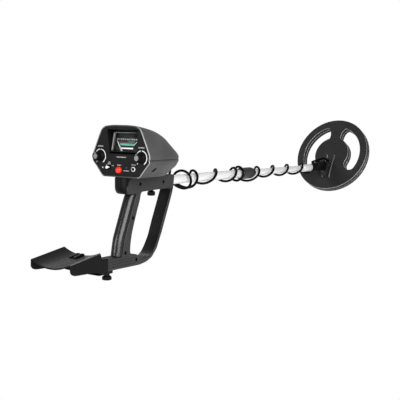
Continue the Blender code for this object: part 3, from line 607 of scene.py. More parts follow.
# the middle of each label of short dashes, and how many dashes it has
LABELS = ((-3.4, 36.4, 4), (32.6, 38.4, 4), (14.5, 26.2, 5), (-34.5, 34.8, 2), (-19.5, 34.6, 2),
          (-28.7, 41.0, 2), (-28.7, 38.0, 3))


def stroke(points, width):
    """A flat line of one width through points on the face."""
    points = [Vector(p) for p in points]
    left, right = [], []
    for i, p in enumerate(points):
        along = (points[min(i + 1, len(points) - 1)] - points[max(i - 1, 0)]).normalized()
        side = Vector((-along.y, along.x)) * width / 2
        left.append(tuple(p + side))
        right.append(tuple(p - side))
    return left + right[::-1]


def marks(name, outlines, material, low=PRINT_Y - 0.12, high=PRINT_Y + 0.05, place=None):
    solids = [prism(outline, low, high, "Y") for outline in outlines]
    add(name, join(*solids), "handle", material, place)


def crescent(cx, cz, radius, start, end, wide_start, wide_end, steps=40):
    outer, inner = [], []
    for i in range(steps + 1):
        share = i / steps
        angle = radians(start + (end - start) * share)
        half = (wide_start + (wide_end - wide_start) * share) / 2
        outer.append((cx + (radius + half) * cos(angle), cz + (radius + half) * sin(angle)))
        inner.append((cx + (radius - half) * cos(angle), cz + (radius - half) * sin(angle)))
    return outer + inner[::-1]


def face_marks():
    white, grey = [], []
    for name in ("volume_knob", "tuning_knob"):
        low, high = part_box(name)
        cx = ((low.x + high.x) / 2 - stem_origin.x) / MM
        cz = ((low.z + high.z) / 2 - stem_origin.z) / MM
        white.append(crescent(cx, cz, 13.4, 146, 98, 1.0, 1.6))
        white.append(crescent(cx, cz, 13.4, 84, -62, 1.6, 2.0))
        white.append(stroke([(cx - 10.6, cz - 12.6), (cx - 8.2, cz - 10.4)], 1.0))
        for k in range(5):
            x = cx - 6 + 3.0 * k
            grey.append(stroke([(x, cz + 18.2), (x, cz + 20.4)], 1.5))
    for x, z, count in LABELS:
        for k in range(count):
            start = x - (count - 1) * 1.3 + 2.6 * k
            grey.append(stroke([(start - 0.85, z), (start + 0.85, z)], 1.5))
    for k in range(7):
        start = -9.5 + 3.4 * k
        grey.append(stroke([(start, 52.0), (start + 2.3, 52.0)], 1.6))
    white.append([(x, z) for x, z in arc(-45.6, 30.2, 1.3, 0, 330, 11)])
    marks("face_print_white", white, WHITE_PRINT)
    marks("face_print_grey", grey, GREY_PRINT)


# ---- meter ----
DIAL_FRONT = 7.0
DIAL_MIDDLE = -2.4
FAN_SLOPE = 0.84
FAN_FOOT = -5.8


def fan(z):
    """Half the width of the dial's fan of lines at a height."""
    return (z - FAN_FOOT) * FAN_SLOPE


def number(text, x, z, size):
    curve = bpy.data.curves.new("number", "FONT")
    curve.body = text
    curve.size = size
    curve.align_x = "CENTER"
    curve.extrude = 0.06
    curve.offset = 0.05
    item = link("number", curve)
    mesh = evaluated(item)
    bm = bmesh.new()
    bm.from_mesh(mesh)
    bm.transform(Matrix.Translation((x, DIAL_FRONT - 0.08, z)) @ Matrix.Rotation(radians(90), 4, "X"))
    bpy.data.objects.remove(item)
    bpy.data.meshes.remove(mesh)
    return bm


def meter():
    low, high = DIAL_FRONT - 0.14, DIAL_FRONT + 0.05
    middle = DIAL_MIDDLE
    # the numbers glow with painted light
    digits = [number(str(k), middle - 25.2 + 4.7 * k, 25.8, 4.3) for k in range(11)]
    add("dial_numbers", join(*digits), "handle", DIAL_WHITE_GLOW, METER)
    right = [(middle + fan(z), z) for z in (22.8, 15.2)]
    lines = [stroke(right, 0.9), stroke([(-16.6, 9.3), (15.2, 9.3)], 2.7)]
    # the lines glow with painted light
    marks("dial_lines", lines, DIAL_WHITE_GLOW, low, high, METER)
    left = [(middle - fan(z), z) for z in (22.4, 2.4)]
    marks("dial_left_line", [stroke(left, 0.8)], GREY_PRINT, low, high, METER)
    red, green = [], []
    for k in range(18):
        x = -21.2 + 2.1 * k
        (red if k < 10 else green).append(arc(x, 21.4, 0.75, 0, 315, 7))
        if k > 9:
            green.append(arc(x, 23.6, 0.6, 0, 315, 7))
    marks("dial_dots_red", red, RED_PRINT, low, high, METER)
    marks("dial_dots_green", green, GREEN_PRINT, low, high, METER)
    bar = [(-17.6, 15.0), (13.4, 14.6), (16.4, 19.0), (-20.2, 19.2)]
    marks("dial_bar", [bar], TEAL_PRINT, low, high, METER)
    # grey strips that paint the light falling on the top edge and the left wall of the meter hood
    top = [(-34.6, 38.4), (34.0, 38.4), (34.0, 39.9), (-34.6, 39.9)]
    marks("cover_top_painted_highlight", [top], METER_WALL_HIGHLIGHT, 1.95, 2.6, METER)
    for name, material, wide, near, far in (("outer", METER_WALL_HIGHLIGHT, 2.7, 31.4, 35.4),
                                            ("inner", METER_WALL_DIM_HIGHLIGHT, 1.2, 27.6, 30.6)):
        side = [(-near, 2.4), (-near + wide * 0.55, 2.4), (-far + wide, 38.0), (-far, 38.0)]
        marks(f"cover_side_painted_highlight_{name}", [side], material, -0.5, 0.45, METER)


# ---- knobs, buttons and switches ----
def controls():
    for name in ("volume_knob", "tuning_knob"):
        place = node_place(name)
        body = [(0, -190.6), (5.4, -190.6), (5.7, -191.5), (6.6, -191.5), (7.6, -190.9), (8.0, -189.8),
                (8.9, -181.5), (9.4, -180.2), (10.1, -179.3), (10.4, -178.4), (10.4, -176.9), (9.9, -176.4),
                (3.2, -176.4), (3.2, -187.6), (0, -187.6)]
        add(name + "_body", turned(body, "Y", 120, flutes=20, depth=0.55, span=(-190.0, -181.0)), name,
            BLACK_PLASTIC, place, [name])
        insert = [(0, -191.2), (4.4, -191.2), (5.0, -191.0), (5.3, -190.5), (0, -190.5)]
        add(name + "_insert", turned(insert, "Y", 48), name, INSERT_GREY, place)
        pointer = prism(stroke([(0, 5.8), (0, 7.7)], 0.9), -191.62, -190.6, "Y")
        add(name + "_pointer", pointer, name, WHITE_PRINT, place)
    button = [(0, -182), (2.2, -181.85), (4.0, -181.3), (5.4, -180.3), (6.2, -179.1), (6.6, -177.7),
              (6.6, -172), (6.2, -171.6), (0, -171.6)]
    add("reset_button_cap", turned(button, "Y", 64), "reset_button", BUTTON_RED, node_place("reset_button"),
        ["reset_button"])
    lever = [(0, -8.9), (1.2, -8.7), (2.2, -8.1), (2.7, -7.1), (2.7, -6.2), (2.2, -5.2), (1.6, -4.2),
             (1.3, -3), (1.3, 3), (0, 3)]
    toggle = joints["mode_switch"]["pos_m"]
    # the lever glows with painted light
    add("mode_toggle_lever", turned(lever, "Y", 32), "mode_toggle", LEVER_WHITE_GLOW,
        Matrix.Translation(toggle) @ SCALE, ["mode_toggle"])
    # the jack's nut is pale plating with a painted reflection
    for name, bore, wide, across, inside, outside in (
            ("toggle_switch", 2.2, 5.2, 6.0, DARK_METAL, DARK_METAL),
            ("headphone_jack", 2.0, 4.9, 5.5, BLACK_PLASTIC, PLATING_AND_PAINTED_REFLECTION)):
        place = node_place(name)
        sleeve = [(bore, -177.3), (bore + 0.3, -177.6), (3.0, -177.6), (3.1, -177.3), (3.1, -172.9),
                  (across, -172.9), (across, -160), (bore, -160)]
        add(name + "_body", turned(sleeve, "Y", 48, ring=True), "handle", inside, place, [name])
        nut = prism(arc(0, 0, wide, 0, 300, 5), -177.1, -175.5, "Y")
        add(name + "_nut", nut, "handle", outside, place, bevel=0.25, carvings=[rod(3.2, -180, -170, "Y")])
    lamp = [(0, -176.4), (0.9, -176.3), (1.7, -175.9), (2.3, -175.2), (2.5, -174.4), (2.5, -172.7),
            (3.2, -172.7), (3.2, -170), (0, -170)]
    add("power_led_lens", turned(lamp, "Y", 32), "handle", LED_LENS, node_place("power_led"), ["power_led"])


# ---- handle ----
HALF = 15.0
HANDLE_TOP = 12.6
HANDLE_OUTLINE = [
    (-22, HANDLE_TOP), (-162, HANDLE_TOP), (-174, -8.4), (-170, -20), (-142, -20), (-149, -35),
    (-160.5, -63), (-170.5, -87.6), (-177.5, -106), (-181.5, -125), (-184, -139.5), (-255, -139.5),
    (-255, -162), (-131.5, -162), (-109.5, -158.4), (-93.5, -151.5), (-77.5, -135), (-68, -115.5),
    (-62, -104), (-49, -74), (-36, -44), (-26, -20), (-22, 5)]
HANDLE_LOOP = [
    (-129, -17.4), (-132.8, -33), (-142, -55.8), (-151, -80.6), (-157, -99.7), (-160, -115),
    (-161.5, -128.7), (-159.5, -139.5), (-138, -139.5), (-138, -150.5), (-103, -149.5), (-92, -141),
    (-84, -131), (-72, -112), (-62, -86), (-42, -40), (-31, -14.5)]
GRIP_LINE = [(-142, -20.3), (-149, -35), (-160.5, -63), (-170.5, -87.6), (-177.5, -106),
             (-181.5, -125), (-184, -139.2)]
GRIP_RADIUS = 12.4
CAP_CENTRE_Y = -169.0
# height, how much narrower than the handle, how far the cap bulges out behind its centre
CAP_ROWS = [
    (HANDLE_TOP, 0.6, 14.4), (HANDLE_TOP - 0.6, 0, 15), (-4, 0, 15), (-8, 0.1, 14.6), (-11, 0.2, 13.7),
    (-13.5, 0.4, 12.4), (-15.5, 0.7, 10.8), (-17.2, 1.3, 8.8), (-18.6, 2.2, 6.2), (-19.5, 3.4, 3.8),
    (-20, 5.0, 1.4)]
# along and up, and the radius of the pocket: the strap only has room for a small one
SCREWS = [
    (-154.5, -66.5, 3.5), (-176, -132.7, 3.5), (-143, -150, 3.5), (-65, -103, 2.2),
    (-29.2, -18.5, 3.2), (-133, -1.5, 3.5), (-59, -0.8, 3.5)]
GROOVES_Z = (-145.2, -150.4, -155.6)
GROOVE_HALF = 0.9
STEM_BORE = 9.8
CLAMP_Y = -79.7


# the inside faces of the handle's loop, which are painted darker as shade
def in_loop(at, normal):
    return abs(normal.x) < 0.3 and normal.y < 0.3 and -144 < at.z < -17 and at.y > -118


# the screw pockets, which are painted black as shade
def in_screw_pocket(at, normal):
    return 10 < at.x < HALF - 0.05 and any(hypot(at.y - y, at.z - z) < r + 0.2 for y, z, r in SCREWS)


def handle():
    outline = fillet(HANDLE_OUTLINE, 5.0)
    loop = fillet(HANDLE_LOOP, 6.0)
    for side, name in ((1, "right"), (-1, "left")):
        low, high = sorted((side * -4.0, side * HALF))
        half = raw("handle_" + name, prism(outline, low, high), STEM)
        carve(half, prism(loop, -20, 20))
        round_edges(half, 1.6, 50, 4)
        low, high = sorted((side * 0.12, side * -8.0))
        carve(half, block(low, high, -270, 0, -180, 30))
        carve(half, rod(STEM_BORE, -125, -10, "Y", 64))
        carve(half, moved(rod(3.4, -25, -5, "Z"), 0, CLAMP_Y))
        carve(half, block(-3.4, 3.4, -237, -194, -165, -154), block(-6.6, 6.6, -243, -188, -155.3, -148))
        grooves = []
        for z in GROOVES_Z:
            low, high = z - GROOVE_HALF, z + GROOVE_HALF
            groove = fillet([(-144, low), (-144, high), (-262, high), (-262, low)], GROOVE_HALF, 3)
            grooves.append(prism(groove, *sorted((side * (HALF - 0.9), side * (HALF + 3)))))
        carve(half, join(*grooves))
        if side > 0:
            pockets = [moved(rod(r, 11, 17, "X"), 0, y, z) for y, z, r in SCREWS]
            carve(half, join(*pockets))
        finish_piece(half, "handle", HANDLE_PLASTIC, [f"handle_{name}_half"])
        # the inside of the loop is painted darker as shade
        tone(half, LOOP_SHADE, in_loop)
        # the screw pockets are painted black as shade
        tone(half, HOOD_PLASTIC_AND_SHADE, in_screw_pocket)
    rows = []
    for z, shrink, reach in CAP_ROWS:
        half = HALF - shrink
        curve = [(x * half, CAP_CENTRE_Y + y * reach) for x, y in arc(0, 0, 1, 0, -180, 40)]
        rows.append([(x, y, z) for x, y in [(half, -150)] + curve + [(-half, -150)]])
    ahead = [(-161.6, 14), (-161.6, HANDLE_TOP), (-173.6, -8.4), (-169.6, -22), (-140, -22), (-140, 14)]
    add("handle_nose", loft(rows), "handle", BLACK_PLASTIC, stands_for=["handle_rear_cap"],
        carvings=[prism([(y - 0.3, z) for y, z in ahead], -20, 20)])
    rows = []
    for y, z in spline(GRIP_LINE, 6):
        rows.append([(px, py, z) for px, py in arc(0, y - 0.3, GRIP_RADIUS, 0, -180, 40)])
    add("grip_cover", loft(rows), "handle", GRIP_RUBBER, stands_for=["grip_rubber"], bevel=0.8, angle=50)
    knob = [(0, -28.7), (5.8, -28.7), (7.2, -28.2), (8, -27), (8, -22), (7.4, -20.6), (5.6, -19.6),
            (4.2, -18.4), (3, -18.4), (3, -9.9), (0, -9.9)]
    add("clamp_knob_body", turned(knob, "Z", 96, flutes=8, depth=1.3, span=(-28.3, -20.5)), "clamp_knob",
        BLACK_PLASTIC, STEM @ Matrix.Translation((0, CLAMP_Y, 0)), ["clamp_knob"])


# ---- arm cup ----
CUP_REAR = -362.0
CUP_FRONT = -279.0
CUP_HALF = 47.0
CUP_DEPTH = 10.8
CUP_WALL = 3.0
CUP_RIDGE_REAR = -127.0
CUP_RIDGE_FRONT = -114.4
FOOT_Y = -213.0
FINGER_SIDE = [(-304, -131), (-303, -126.6), (-300, -125.2), (-281, -121.9), (-278, -123), (-276, -131)]
FINGER_X = (-13.0, -2.5)
FINGER_WIDE = 5.5


def ridge_height(y):
    share = (y - CUP_REAR) / (CUP_FRONT - CUP_REAR)
    return CUP_RIDGE_REAR + share * (CUP_RIDGE_FRONT - CUP_RIDGE_REAR)


def cup_section(y, flange_low):
    top = ridge_height(y)
    across = [-1.0 + 2.0 * i / 36 for i in range(37)]
    dips = [CUP_DEPTH * (1 - abs(s) ** 2.1) for s in across]
    trough = [(CUP_HALF * s, top - dip) for s, dip in zip(across, dips)]
    outer = CUP_HALF + CUP_WALL
    below = [(CUP_HALF * s * 0.965, top - CUP_WALL - dip) for s, dip in zip(across[::-1], dips[::-1])]
    lip = [(CUP_HALF + 0.9, top + 0.1), (CUP_HALF + 2.0, top - 0.3), (outer - 0.2, top - 1.2),
           (outer, top - 2.6)]
    steps = [top - 2.6 + (flange_low - top + 2.6) * k / 6 for k in range(1, 7)]
    inner_steps = [flange_low + (top - 6 - flange_low) * k / 5 for k in range(6)]
    right = lip + [(outer, z) for z in steps] + [(CUP_HALF, z) for z in inner_steps]
    left = [(-x, z) for x, z in reversed(right)]
    return [(x, y, z) for x, z in trough + right + below + left]


def arm_rest():
    stations = [(CUP_REAR, -139), (-361, -142), (-358, -145), (-354, -147), (-348, -147.9), (-330, -148.4),
                (-312, -149), (-298, -150.4), (-288, -153), (CUP_FRONT, -156)]
    rows = [tuple(r) for r in spline(stations, 4)]
    dish = raw("arm_dish", loft([cup_section(y, low) for y, low in rows]), STEM)
    carve(dish, prism([(-287.5, -113), (-278, -140), (-270, -140), (-270, -113)], 40, 60))
    finish_piece(dish, "arm_cup", CUP_PLASTIC, ["arm_cup"], 0.7, 60)
    tone(dish, HOOD_PLASTIC_AND_SHADE, lambda at, normal: normal.x > 0.9)
    # faces that look down get the glossless copy as painted shade
    tone(dish, CUP_UNDERSIDE_SHADE, lambda at, normal: normal.z < -0.3)
    # the right side of the trough is painted lighter as a sheen, lightest towards the flange
    tone(dish, CUP_PAINTED_SHEEN, lambda at, normal: at.x > 22 and normal.z > 0.3)
    tone(dish, CUP_PAINTED_HIGHLIGHT, lambda at, normal: at.x > 36 and normal.z > 0.3)
    fingers = [prism(fillet(FINGER_SIDE, 1.6), x, x + FINGER_WIDE) for x in FINGER_X]
    add("cup_fingers", join(*fingers), "arm_cup", HOOD_PLASTIC_AND_SHADE, bevel=0.6, angle=50)
    web = [(-294, 47.6, -150, -143), (-284, 47.8, -154.5, -140), (-278, 46.5, -157.5, -138.6),
           (-270, 35, -160.5, -137.8), (-263, 22, -163.4, -137.2), (-257, 17.8, -164.8, -137),
           (-229, 17.4, -164.8, -137)]
    rows = []
    for y, half, low, high in spline(web, 5):
        ring = fillet([(-half, low), (half, low), (half, high), (-half, high)], 2.2, 4)
        rows.append([(x, y, z) for x, z in ring])
    socket = block(-15.3, 15.3, -256, -220, -162.3, -139.2)
    bracket = raw("arm_bracket", loft(rows), STEM)
    carve(bracket, socket)
    finish_piece(bracket, "arm_cup", CUP_PLASTIC, bevel=0.7, angle=60)
    tone(bracket, HOOD_PLASTIC_AND_SHADE, lambda at, normal: at.y > -256)
    # faces that look down get the glossless copy as painted shade
    tone(bracket, CUP_UNDERSIDE_SHADE, lambda at, normal: normal.z < -0.3)
    tongue = fillet([(-10, -246), (10, -246), (10, -208), (6, -202), (-6, -202), (-10, -208)], 3.0)
    hole = moved(rod(3.4, -175, -160, "Z"), 0, FOOT_Y)
    add("arm_tongue", prism(tongue, -168.6, -162.4, "Z"), "arm_cup", CUP_PLASTIC, bevel=0.7, carvings=[hole])
    knob = [(0, -181.7), (7.4, -181.7), (8.7, -181.2), (9.3, -180.2), (9.3, -176.4), (8.8, -175.0),
            (7.4, -173.9), (5.6, -173.4), (5.2, -170.0), (5.4, -168.9), (2.9, -168.9), (2.9, -149),
            (0, -149)]
    add("foot_knob", turned(knob, "Z", 120, flutes=20, depth=0.6, span=(-180.4, -176.0)), "arm_cup_knob",
        BLACK_PLASTIC, STEM @ Matrix.Translation((0, FOOT_Y, 0)), ["arm_cup_knob"])


# ---- stem ----
# outer and inner radius, rear and front end
UPPER_TUBE = (9.5, 8.2, -122, UPPER_TUBE_FRONT)
LOWER_TUBE = (7.5, 6.3, 100, 605.5)
PIVOT_HOLE_R = 3.3


def stem():
    add("upper_tube", pipe(*UPPER_TUBE), "handle", TUBE_METAL, stands_for=["upper_stem_tube"])
    add("lower_tube", pipe(*LOWER_TUBE), "lower_stem", TUBE_METAL, stands_for=["lower_stem_tube"])
    sleeve = [(7.8, 563.6), (8.2, 563), (9.1, 563), (9.6, 563.6), (9.6, 605.2), (9.2, 606), (8.2, 606),
              (7.8, 605.4)]
    add("tip_sleeve", turned(sleeve, "Y", 96, ring=True), "lower_stem", TUBE_METAL,
        stands_for=["stem_tip_sleeve"])
    collar = [(9.8, 254), (12.2, 254), (13.1, 254.6), (13.6, 255.8), (13.6, 259), (13.6, 260), (13.6, 262),
              (13.6, 292), (13.6, 294), (13.5, 297), (12.9, 301), (11.6, 306), (10.6, 309.4), (10.2, 310),
              (7.9, 310), (7.9, 307), (9.8, 307)]
    ribbed = turned(collar, "Y", 144, ring=True, flutes=16, depth=1.1, span=(261, 293))
    add("collar_body", ribbed, "lock_collar", COLLAR_PLASTIC, stands_for=["lock_collar"])
    body = [(0, 588), (6, 588), (6, 606.3), (9.2, 606.3), (9.9, 606.9), (10.0, 611), (10.1, 613),
            (10.3, 620), (10.7, 632), (10.8, 648), (10.4, 652), (9.2, 654), (0, 654)]
    add("tip_body", turned(body, "Y", 96), "lower_stem", BLACK_PLASTIC, stands_for=["stem_tip_fork"])
    cheek = [(-40, 6.5), (-40, -13.0), (-24, -13.6)] + arc(0, 0, 13, -100, 105, 40) + [(-24, 8.6)]
    slot = block(-7, 7, -16, 40, -25, 25)
    hole = rod(PIVOT_HOLE_R, -20, 20, "X")
    add("tip_fork", prism(cheek, -11.2, 11.2), "lower_stem", BLACK_PLASTIC, FORK, bevel=1.4, angle=50,
        carvings=[slot, hole], steps=4)
    bolt = [(0, 14.4), (3.4, 14.4), (3.7, 14.6), (5.2, 14.6), (6.2, 14.0), (6.5, 13.0), (6.5, 11.6),
            (3, 11.6), (3, -20.6), (2.6, -21), (0, -21)]
    add("coil_bolt", turned(bolt, "X", 48), "lower_stem", BLACK_PLASTIC, FORK, ["pivot_bolt"])
    nut = raw("nut_body", pipe(6, PIVOT_HOLE_R, -19, -11.5, "X", 48, 0.6), FORK)
    wing = fillet([(-13, -1.8), (13, -1.8), (13, 1.8), (-13, 1.8)], 1.4, 3)
    carve(nut, prism(wing, -18, -13), place=FORK, operation="UNION")
    carve(nut, rod(PIVOT_HOLE_R, -25, -5, "X"), place=FORK)
    finish_piece(nut, "wing_nut", BLACK_PLASTIC, ["wing_nut"], 0.5, 50)


# ---- search coil ----
FACE_V = 53.1
FACE_H = -41.0
COIL_R = 105.0
RIM_R = 96.0
SEAM_DEPTH = 12.0
BOOT_V = FACE_V - 24
SLOT_MID_R = 67.0
SLOT_HALF = 17.0


def kidney(side, steps=72):
    """The outline of the curved slot with round ends on one side of the coil."""
    start, end = radians(-25), radians(68)
    low_cap, high_cap = 15 / SLOT_MID_R, 8 / SLOT_MID_R
    outer, inner = [], []
    for i in range(steps + 1):
        share = 0.5 - 0.5 * cos(pi * i / steps)
        angle = start - low_cap + share * (end + high_cap - start + low_cap)
        past = max((start - angle) / low_cap, (angle - end) / high_cap, 0.0)
        half = SLOT_HALF * sqrt(max(0.0, 1 - min(past, 1.0) ** 2))
        outer.append((side * (SLOT_MID_R + half) * cos(angle), (SLOT_MID_R + half) * sin(angle)))
        inner.append((side * (SLOT_MID_R - half) * cos(angle), (SLOT_MID_R - half) * sin(angle)))
    return [(x, v + FACE_V) for x, v in outer + inner[-2:0:-1]]


def plate(profile, segments=160):
    rings = [[(x, y, h) for x, y in arc(0, 0, r, 0, 360, segments)[:-1]] for r, h in profile]
    return moved(loft(rings), 0, FACE_V)


def on_coil_edge(at, normal):
    """The rounded upper edges of the slots, the rim and the seam, without the groove round the rim: these
    get a painted highlight.
    """
    rim = hypot(at.x, at.y - FACE_V) > RIM_R
    groove = FACE_H - SEAM_DEPTH < at.z < FACE_H - 2.2
    return 0.25 <= normal.z < 0.93 and not (rim and groove)


def search_coil():
    top = FACE_H
    upper = [(103.2, top), (104.4, top - 0.4), (COIL_R, top - 1.5), (COIL_R, top - 4.6),
             (104.2, top - 5.2), (104.2, top - 6.0), (COIL_R, top - 6.6), (COIL_R, top - 11.4),
             (104.6, top - SEAM_DEPTH)]
    shell = raw("coil_shell", plate(upper), COIL)
    lower = [(104.2, top - 12.3), (104.8, top - 12.9), (104.8, top - 20.2), (104.2, top - 21.8),
             (102.2, top - 23)]
    cover = raw("coil_cover", plate(lower), COIL)
    for item in (shell, cover):
        carve(item, *[prism(kidney(side), top - 30, top + 10, "Z") for side in (-1, 1)], place=COIL)
    carve(shell, moved(rod(3.4, top - 14, top + 2, "Z"), 0, BOOT_V), place=COIL)
    finish_piece(shell, "coil", COIL_PLASTIC, ["coil_upper_shell"], 1.1, 60)
    finish_piece(cover, "coil", COIL_PLASTIC, ["coil_lower_cover"], 0.8, 60)
    for item in (shell, cover):
        # the upright walls are painted darker as shade
        tone(item, COIL_WALL_SHADE, lambda at, normal: abs(normal.z) < 0.25, COIL)
        # the rounded upper edges get a painted highlight
        tone(item, EDGE_HIGHLIGHT, on_coil_edge, COIL)
    lug = fillet([(15, top - 1), (13.5, top + 6)], 2, open_ends=True) + arc(0, 0, 10, 15, 165, 30)
    lug += [(-17.5, top + 8), (-21, top - 1)]
    hole = rod(PIVOT_HOLE_R, -20, 20, "X")
    add("coil_lug", prism(lug, -5.2, 5.2), "coil", COIL_PLASTIC, COIL, bevel=0.9, carvings=[hole])
    rib = [(FACE_V - 3, top - 1), (FACE_V - 3, top + 0.5), (FACE_V - 24, top + 2.6), (FACE_V - 44, top + 6),
           (FACE_V - 62, top + 5.2), (FACE_V - 70, top + 3.6), (FACE_V - 73, top - 1)]
    ribs = [prism(fillet(rib, 3.0), *sorted((side * 9.5, side * 12))) for side in (-1, 1)]
    item = add("coil_ribs", join(*ribs), "coil", COIL_PLASTIC, COIL, bevel=0.7, angle=50)
    # the ribs' upper edges get a painted highlight
    tone(item, EDGE_HIGHLIGHT, lambda at, normal: normal.z > 0.3 and abs(normal.x) > 0.1, COIL)
    gland = [(3.1, top + 0.3), (5.8, top + 0.3), (5.8, top + 3.6), (5.3, top + 4.6), (4.6, top + 5.0),
             (4.0, top + 8), (3.1, top + 8)]
    boot = moved(turned(gland, "Z", 48, ring=True), 0, BOOT_V)
    add("coil_gland_boot", boot, "coil", SOFT_RUBBER, COIL, ["coil_gland"])


# ---- cable ----
CABLE_R = 2.7
# degrees round the stem, distance along it, distance from its axis
WINDING = [
    (-180, 1, 16.5), (-90, 30, 21), (0, 29, 20), (90, 22, 17.5), (180, 19, 18), (270, 43, 20),
    (360, 55, 18.5), (450, 63, 16), (540, 77, 14.5), (630, 100, 14.5), (720, 128, 14.5),
    (810, 151, 14.5), (900, 171, 14.5), (990, 191, 14.5), (1080, 212, 15), (1170, 227, 15),
    (1260, 233, 15), (1350, 238, 15.5), (1440, 243, 15.5), (1530, 249, 16.5), (1620, 262, 18.4),
    (1710, 285, 18.4), (1800, 312, 17), (1890, 328, 13), (1980, 344, 12.4), (2070, 361, 12.4),
    (2160, 385, 12.4), (2250, 406, 12.4), (2340, 422, 12.4), (2430, 438, 12.4), (2520, 459, 12.4),
    (2610, 478, 12.4), (2700, 493, 12.4), (2790, 509, 12.4), (2880, 536, 12.4), (2970, 556, 12.8),
    (3060, 573, 13.8), (3150, 588, 14.2), (3240, 603, 14.6), (3330, 617, 14.8)]
CABLE_START = [(0, -34.5, 20.5), (-1, -26, 22.5), (-3, -15, 23), (-9, -6, 17), (-14, -1.5, 8.5)]
CABLE_END = [(0, 640, 18), (0, 662, 20.5), (0, 684, 22), (0, 700, 19.5), (0, 711.5, 13.5)]
STEM_JOIN_Y = 320.0
TIP_JOIN_Y = 610.0
SLEEVE_REAR = 563.0
PIVOT_Y = 672.0


def cable_route():
    turns = spline(WINDING, 6)
    wound = [(r * cos(radians(t)), y, r * sin(radians(t))) for t, y, r in turns]
    return spline(CABLE_START + wound[:-1:2] + [wound[-1]] + CABLE_END, 3)


def tube(route, radius, sides=16):
    """A round tube along a route, its rings carried along without twist."""
    rows = []
    side = Vector((1, 0, 0))
    turns = [tau * k / sides for k in range(sides)]
    for i, p in enumerate(route):
        along = (route[min(i + 1, len(route) - 1)] - route[max(i - 1, 0)]).normalized()
        side = (side - along * side.dot(along)).normalized()
        other = along.cross(side)
        rows.append([tuple(p + (side * cos(t) + other * sin(t)) * radius) for t in turns])
    return loft(rows)


def cable():
    route = cable_route()
    one = next(i for i, p in enumerate(route) if p.y > STEM_JOIN_Y)
    two = next(i for i, p in enumerate(route) if p.y > TIP_JOIN_Y)
    add("cable_near", tube(route[:one + 1], CABLE_R), "handle", CABLE_JACKET, stands_for=["cable_upper"])
    runs = (("cable_middle", route[one:two + 1], "cable_lower", "handle", "lower_stem", route[one].y,
             SLEEVE_REAR),
            ("cable_far", route[two:], "cable_tip", "lower_stem", "coil", PIVOT_Y - 14, PIVOT_Y + 30))
    for name, points, node, near, far, start, end in runs:
        item = raw(name, tube(points, CABLE_R), STEM)
        item.data.materials.append(CABLE_JACKET)
        item.data.shade_smooth()
        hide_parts(node)
        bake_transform(item)


# ---- carried-over nodes ----
CARRIED = {
    "face_panel": PANEL_PLASTIC, "meter_bezel": HOOD_PLASTIC_AND_SHADE, "meter_case": METER_GREY,
    "meter_dial": DIAL_BLACK, "meter_window": WINDOW, "meter_movement": NYLON,
    "meter_needle": NEEDLE_WHITE, "circuit_board": BOARD_GREEN, "speaker": SOFT_RUBBER,
    "housing_gland": SOFT_RUBBER, "volume_potentiometer": TURNED_METAL,
    "tuning_potentiometer": TURNED_METAL, "reset_switch": BLACK_PLASTIC, "arm_cup_nut": TURNED_METAL,
    "stem_collet": NYLON, "stem_end_plug": BLACK_PLASTIC, "pivot_washer_right": SOFT_RUBBER,
    "pivot_washer_left": SOFT_RUBBER, "transmit_winding": COPPER, "receive_winding": COPPER}
CARRIED.update({f"battery_{k}": BATTERY_WRAP for k in (1, 2, 3)})
CARRIED.update({f"handle_screw_{k}": HOOD_PLASTIC_AND_SHADE for k in range(1, 8)})


def carry_over():
    for name, material in CARRIED.items():
        item = frame["nodes"][name]
        item.data.materials.clear()
        item.data.materials.append(material)
        item.data.shade_smooth()
        item.data.set_sharp_from_angle(angle=NODE_SHARP_ANGLE)


# ---- stage ----
CAMERA_AT = (1.03949, -1.21842, 0.21265)
CAMERA_AZIMUTH = 35.14
CAMERA_PITCH = 5.79
CAMERA_ROLL = 0.96
CAMERA_LENS = 74.28
FLOOR_DROP = 0.45
FLOOR_HALF = 15.0
# the wall begins and is full at these cosines from the view's direction; then its two levels
WALL_STARTS = -0.15
WALL_FULL = 0.45
DARK_SIDE = 0.05
PALE_WALL = 0.45


def camera():
    az, pitch, roll = (radians(a) for a in (CAMERA_AZIMUTH, CAMERA_PITCH, CAMERA_ROLL))
    ahead = Vector((-sin(az) * cos(pitch), cos(az) * cos(pitch), -sin(pitch)))
    right = Vector((cos(az), sin(az), 0))
    up = right.cross(ahead)
    side = right * cos(roll) + up * sin(roll)
    top = up * cos(roll) - right * sin(roll)
    data = bpy.data.cameras.new("camera")
    data.lens = CAMERA_LENS
    data.sensor_width = 36.0
    item = link("camera", data)
    item.matrix_world = Matrix((
        (side.x, top.x, -ahead.x, CAMERA_AT[0]), (side.y, top.y, -ahead.y, CAMERA_AT[1]),
        (side.z, top.z, -ahead.z, CAMERA_AT[2]), (0, 0, 0, 1)))
    bpy.context.scene.camera = item


def softbox(name, at, aim, width, height, power):
    data = bpy.data.lights.new(name, "AREA")
    data.shape = "RECTANGLE"
    data.size = width
    data.size_y = height
    data.energy = power
    item = link(name, data)
    item.location = at
    item.rotation_euler = (Vector(aim) - Vector(at)).to_track_quat("-Z", "Y").to_euler()


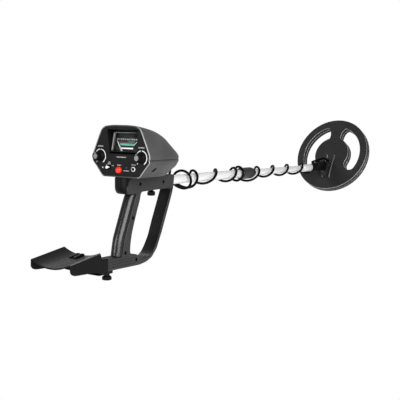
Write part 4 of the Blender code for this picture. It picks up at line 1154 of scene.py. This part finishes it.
def studio_world():
    """A pale wall behind the object and a dark room behind the camera, which itself sees plain white."""
    world = bpy.data.worlds.new("studio")
    bpy.context.scene.world = world
    world.use_nodes = True
    tree = world.node_tree
    seen = tree.nodes["Background"]
    put(seen, "Color", (1, 1, 1, 1))
    lit = tree.nodes.new("ShaderNodeBackground")
    put(lit, "Color", (1, 1, 1, 1))
    where = tree.nodes.new("ShaderNodeTexCoord")
    share = tree.nodes.new("ShaderNodeVectorMath")
    share.operation = "DOT_PRODUCT"
    turn = radians(CAMERA_AZIMUTH)
    put(share, 1, (-sin(turn), cos(turn), 0))
    wire(where.outputs["Generated"], share.inputs[0])
    fade = tree.nodes.new("ShaderNodeMapRange")
    fade.interpolation_type = "SMOOTHSTEP"
    put(fade, "From Min", WALL_STARTS)
    put(fade, "From Max", WALL_FULL)
    put(fade, "To Min", DARK_SIDE)
    put(fade, "To Max", PALE_WALL)
    wire(share.outputs["Value"], fade.inputs["Value"])
    wire(fade.outputs["Result"], lit.inputs["Strength"])
    path = tree.nodes.new("ShaderNodeLightPath")
    mix = tree.nodes.new("ShaderNodeMixShader")
    wire(path.outputs["Is Camera Ray"], mix.inputs["Fac"])
    wire(lit.outputs["Background"], mix.inputs[1])
    wire(seen.outputs["Background"], mix.inputs[2])
    wire(mix.outputs["Shader"], tree.nodes["World Output"].inputs["Surface"])


def pale_floor():
    """A pale floor well below the object, plain white to the camera and in reflections."""
    half = FLOOR_HALF
    floor_z = cad_box[0].z - FLOOR_DROP
    bm = bmesh.new()
    corners = ((-half, -half), (half, -half), (half, half), (-half, half))
    bm.faces.new([bm.verts.new((x, y, floor_z)) for x, y in corners])
    mesh = bpy.data.meshes.new("floor")
    bm.to_mesh(mesh)
    bm.free()
    floor = link("floor", mesh)
    material = moulded("floor_paint", (0.80, 0.80, 0.80), 0.8, 40.0, 0.02, 0.01)
    tree = material.node_tree
    white = tree.nodes.new("ShaderNodeEmission")
    path = tree.nodes.new("ShaderNodeLightPath")
    mix = tree.nodes.new("ShaderNodeMixShader")
    either = tree.nodes.new("ShaderNodeMath")
    either.operation = "MAXIMUM"
    wire(path.outputs["Is Camera Ray"], either.inputs[0])
    wire(path.outputs["Is Glossy Ray"], either.inputs[1])
    wire(either.outputs["Value"], mix.inputs["Fac"])
    wire(tree.nodes["Principled BSDF"].outputs["BSDF"], mix.inputs[1])
    wire(white.outputs["Emission"], mix.inputs[2])
    wire(mix.outputs["Shader"], tree.nodes["Material Output"].inputs["Surface"])
    floor.data.materials.append(material)


def stage():
    bpy.context.scene.view_settings.view_transform = "Standard"
    studio_world()
    pale_floor()
    softbox("front", (-0.5, -1.9, 0.5), (0.0, 0.0, 0.0), 0.8, 0.8, 17)
    softbox("right", (1.7, -0.9, 0.75), (0, 0.1, 0.05), 1.9, 1.5, 66)
    softbox("left", (-1.7, 0.8, 1.5), (0, 0.6, 0.1), 0.8, 0.8, 10)
    camera()


control_box()
face_marks()
meter()
controls()
handle()
arm_rest()
stem()
search_coil()
cable()
carry_over()
stage()
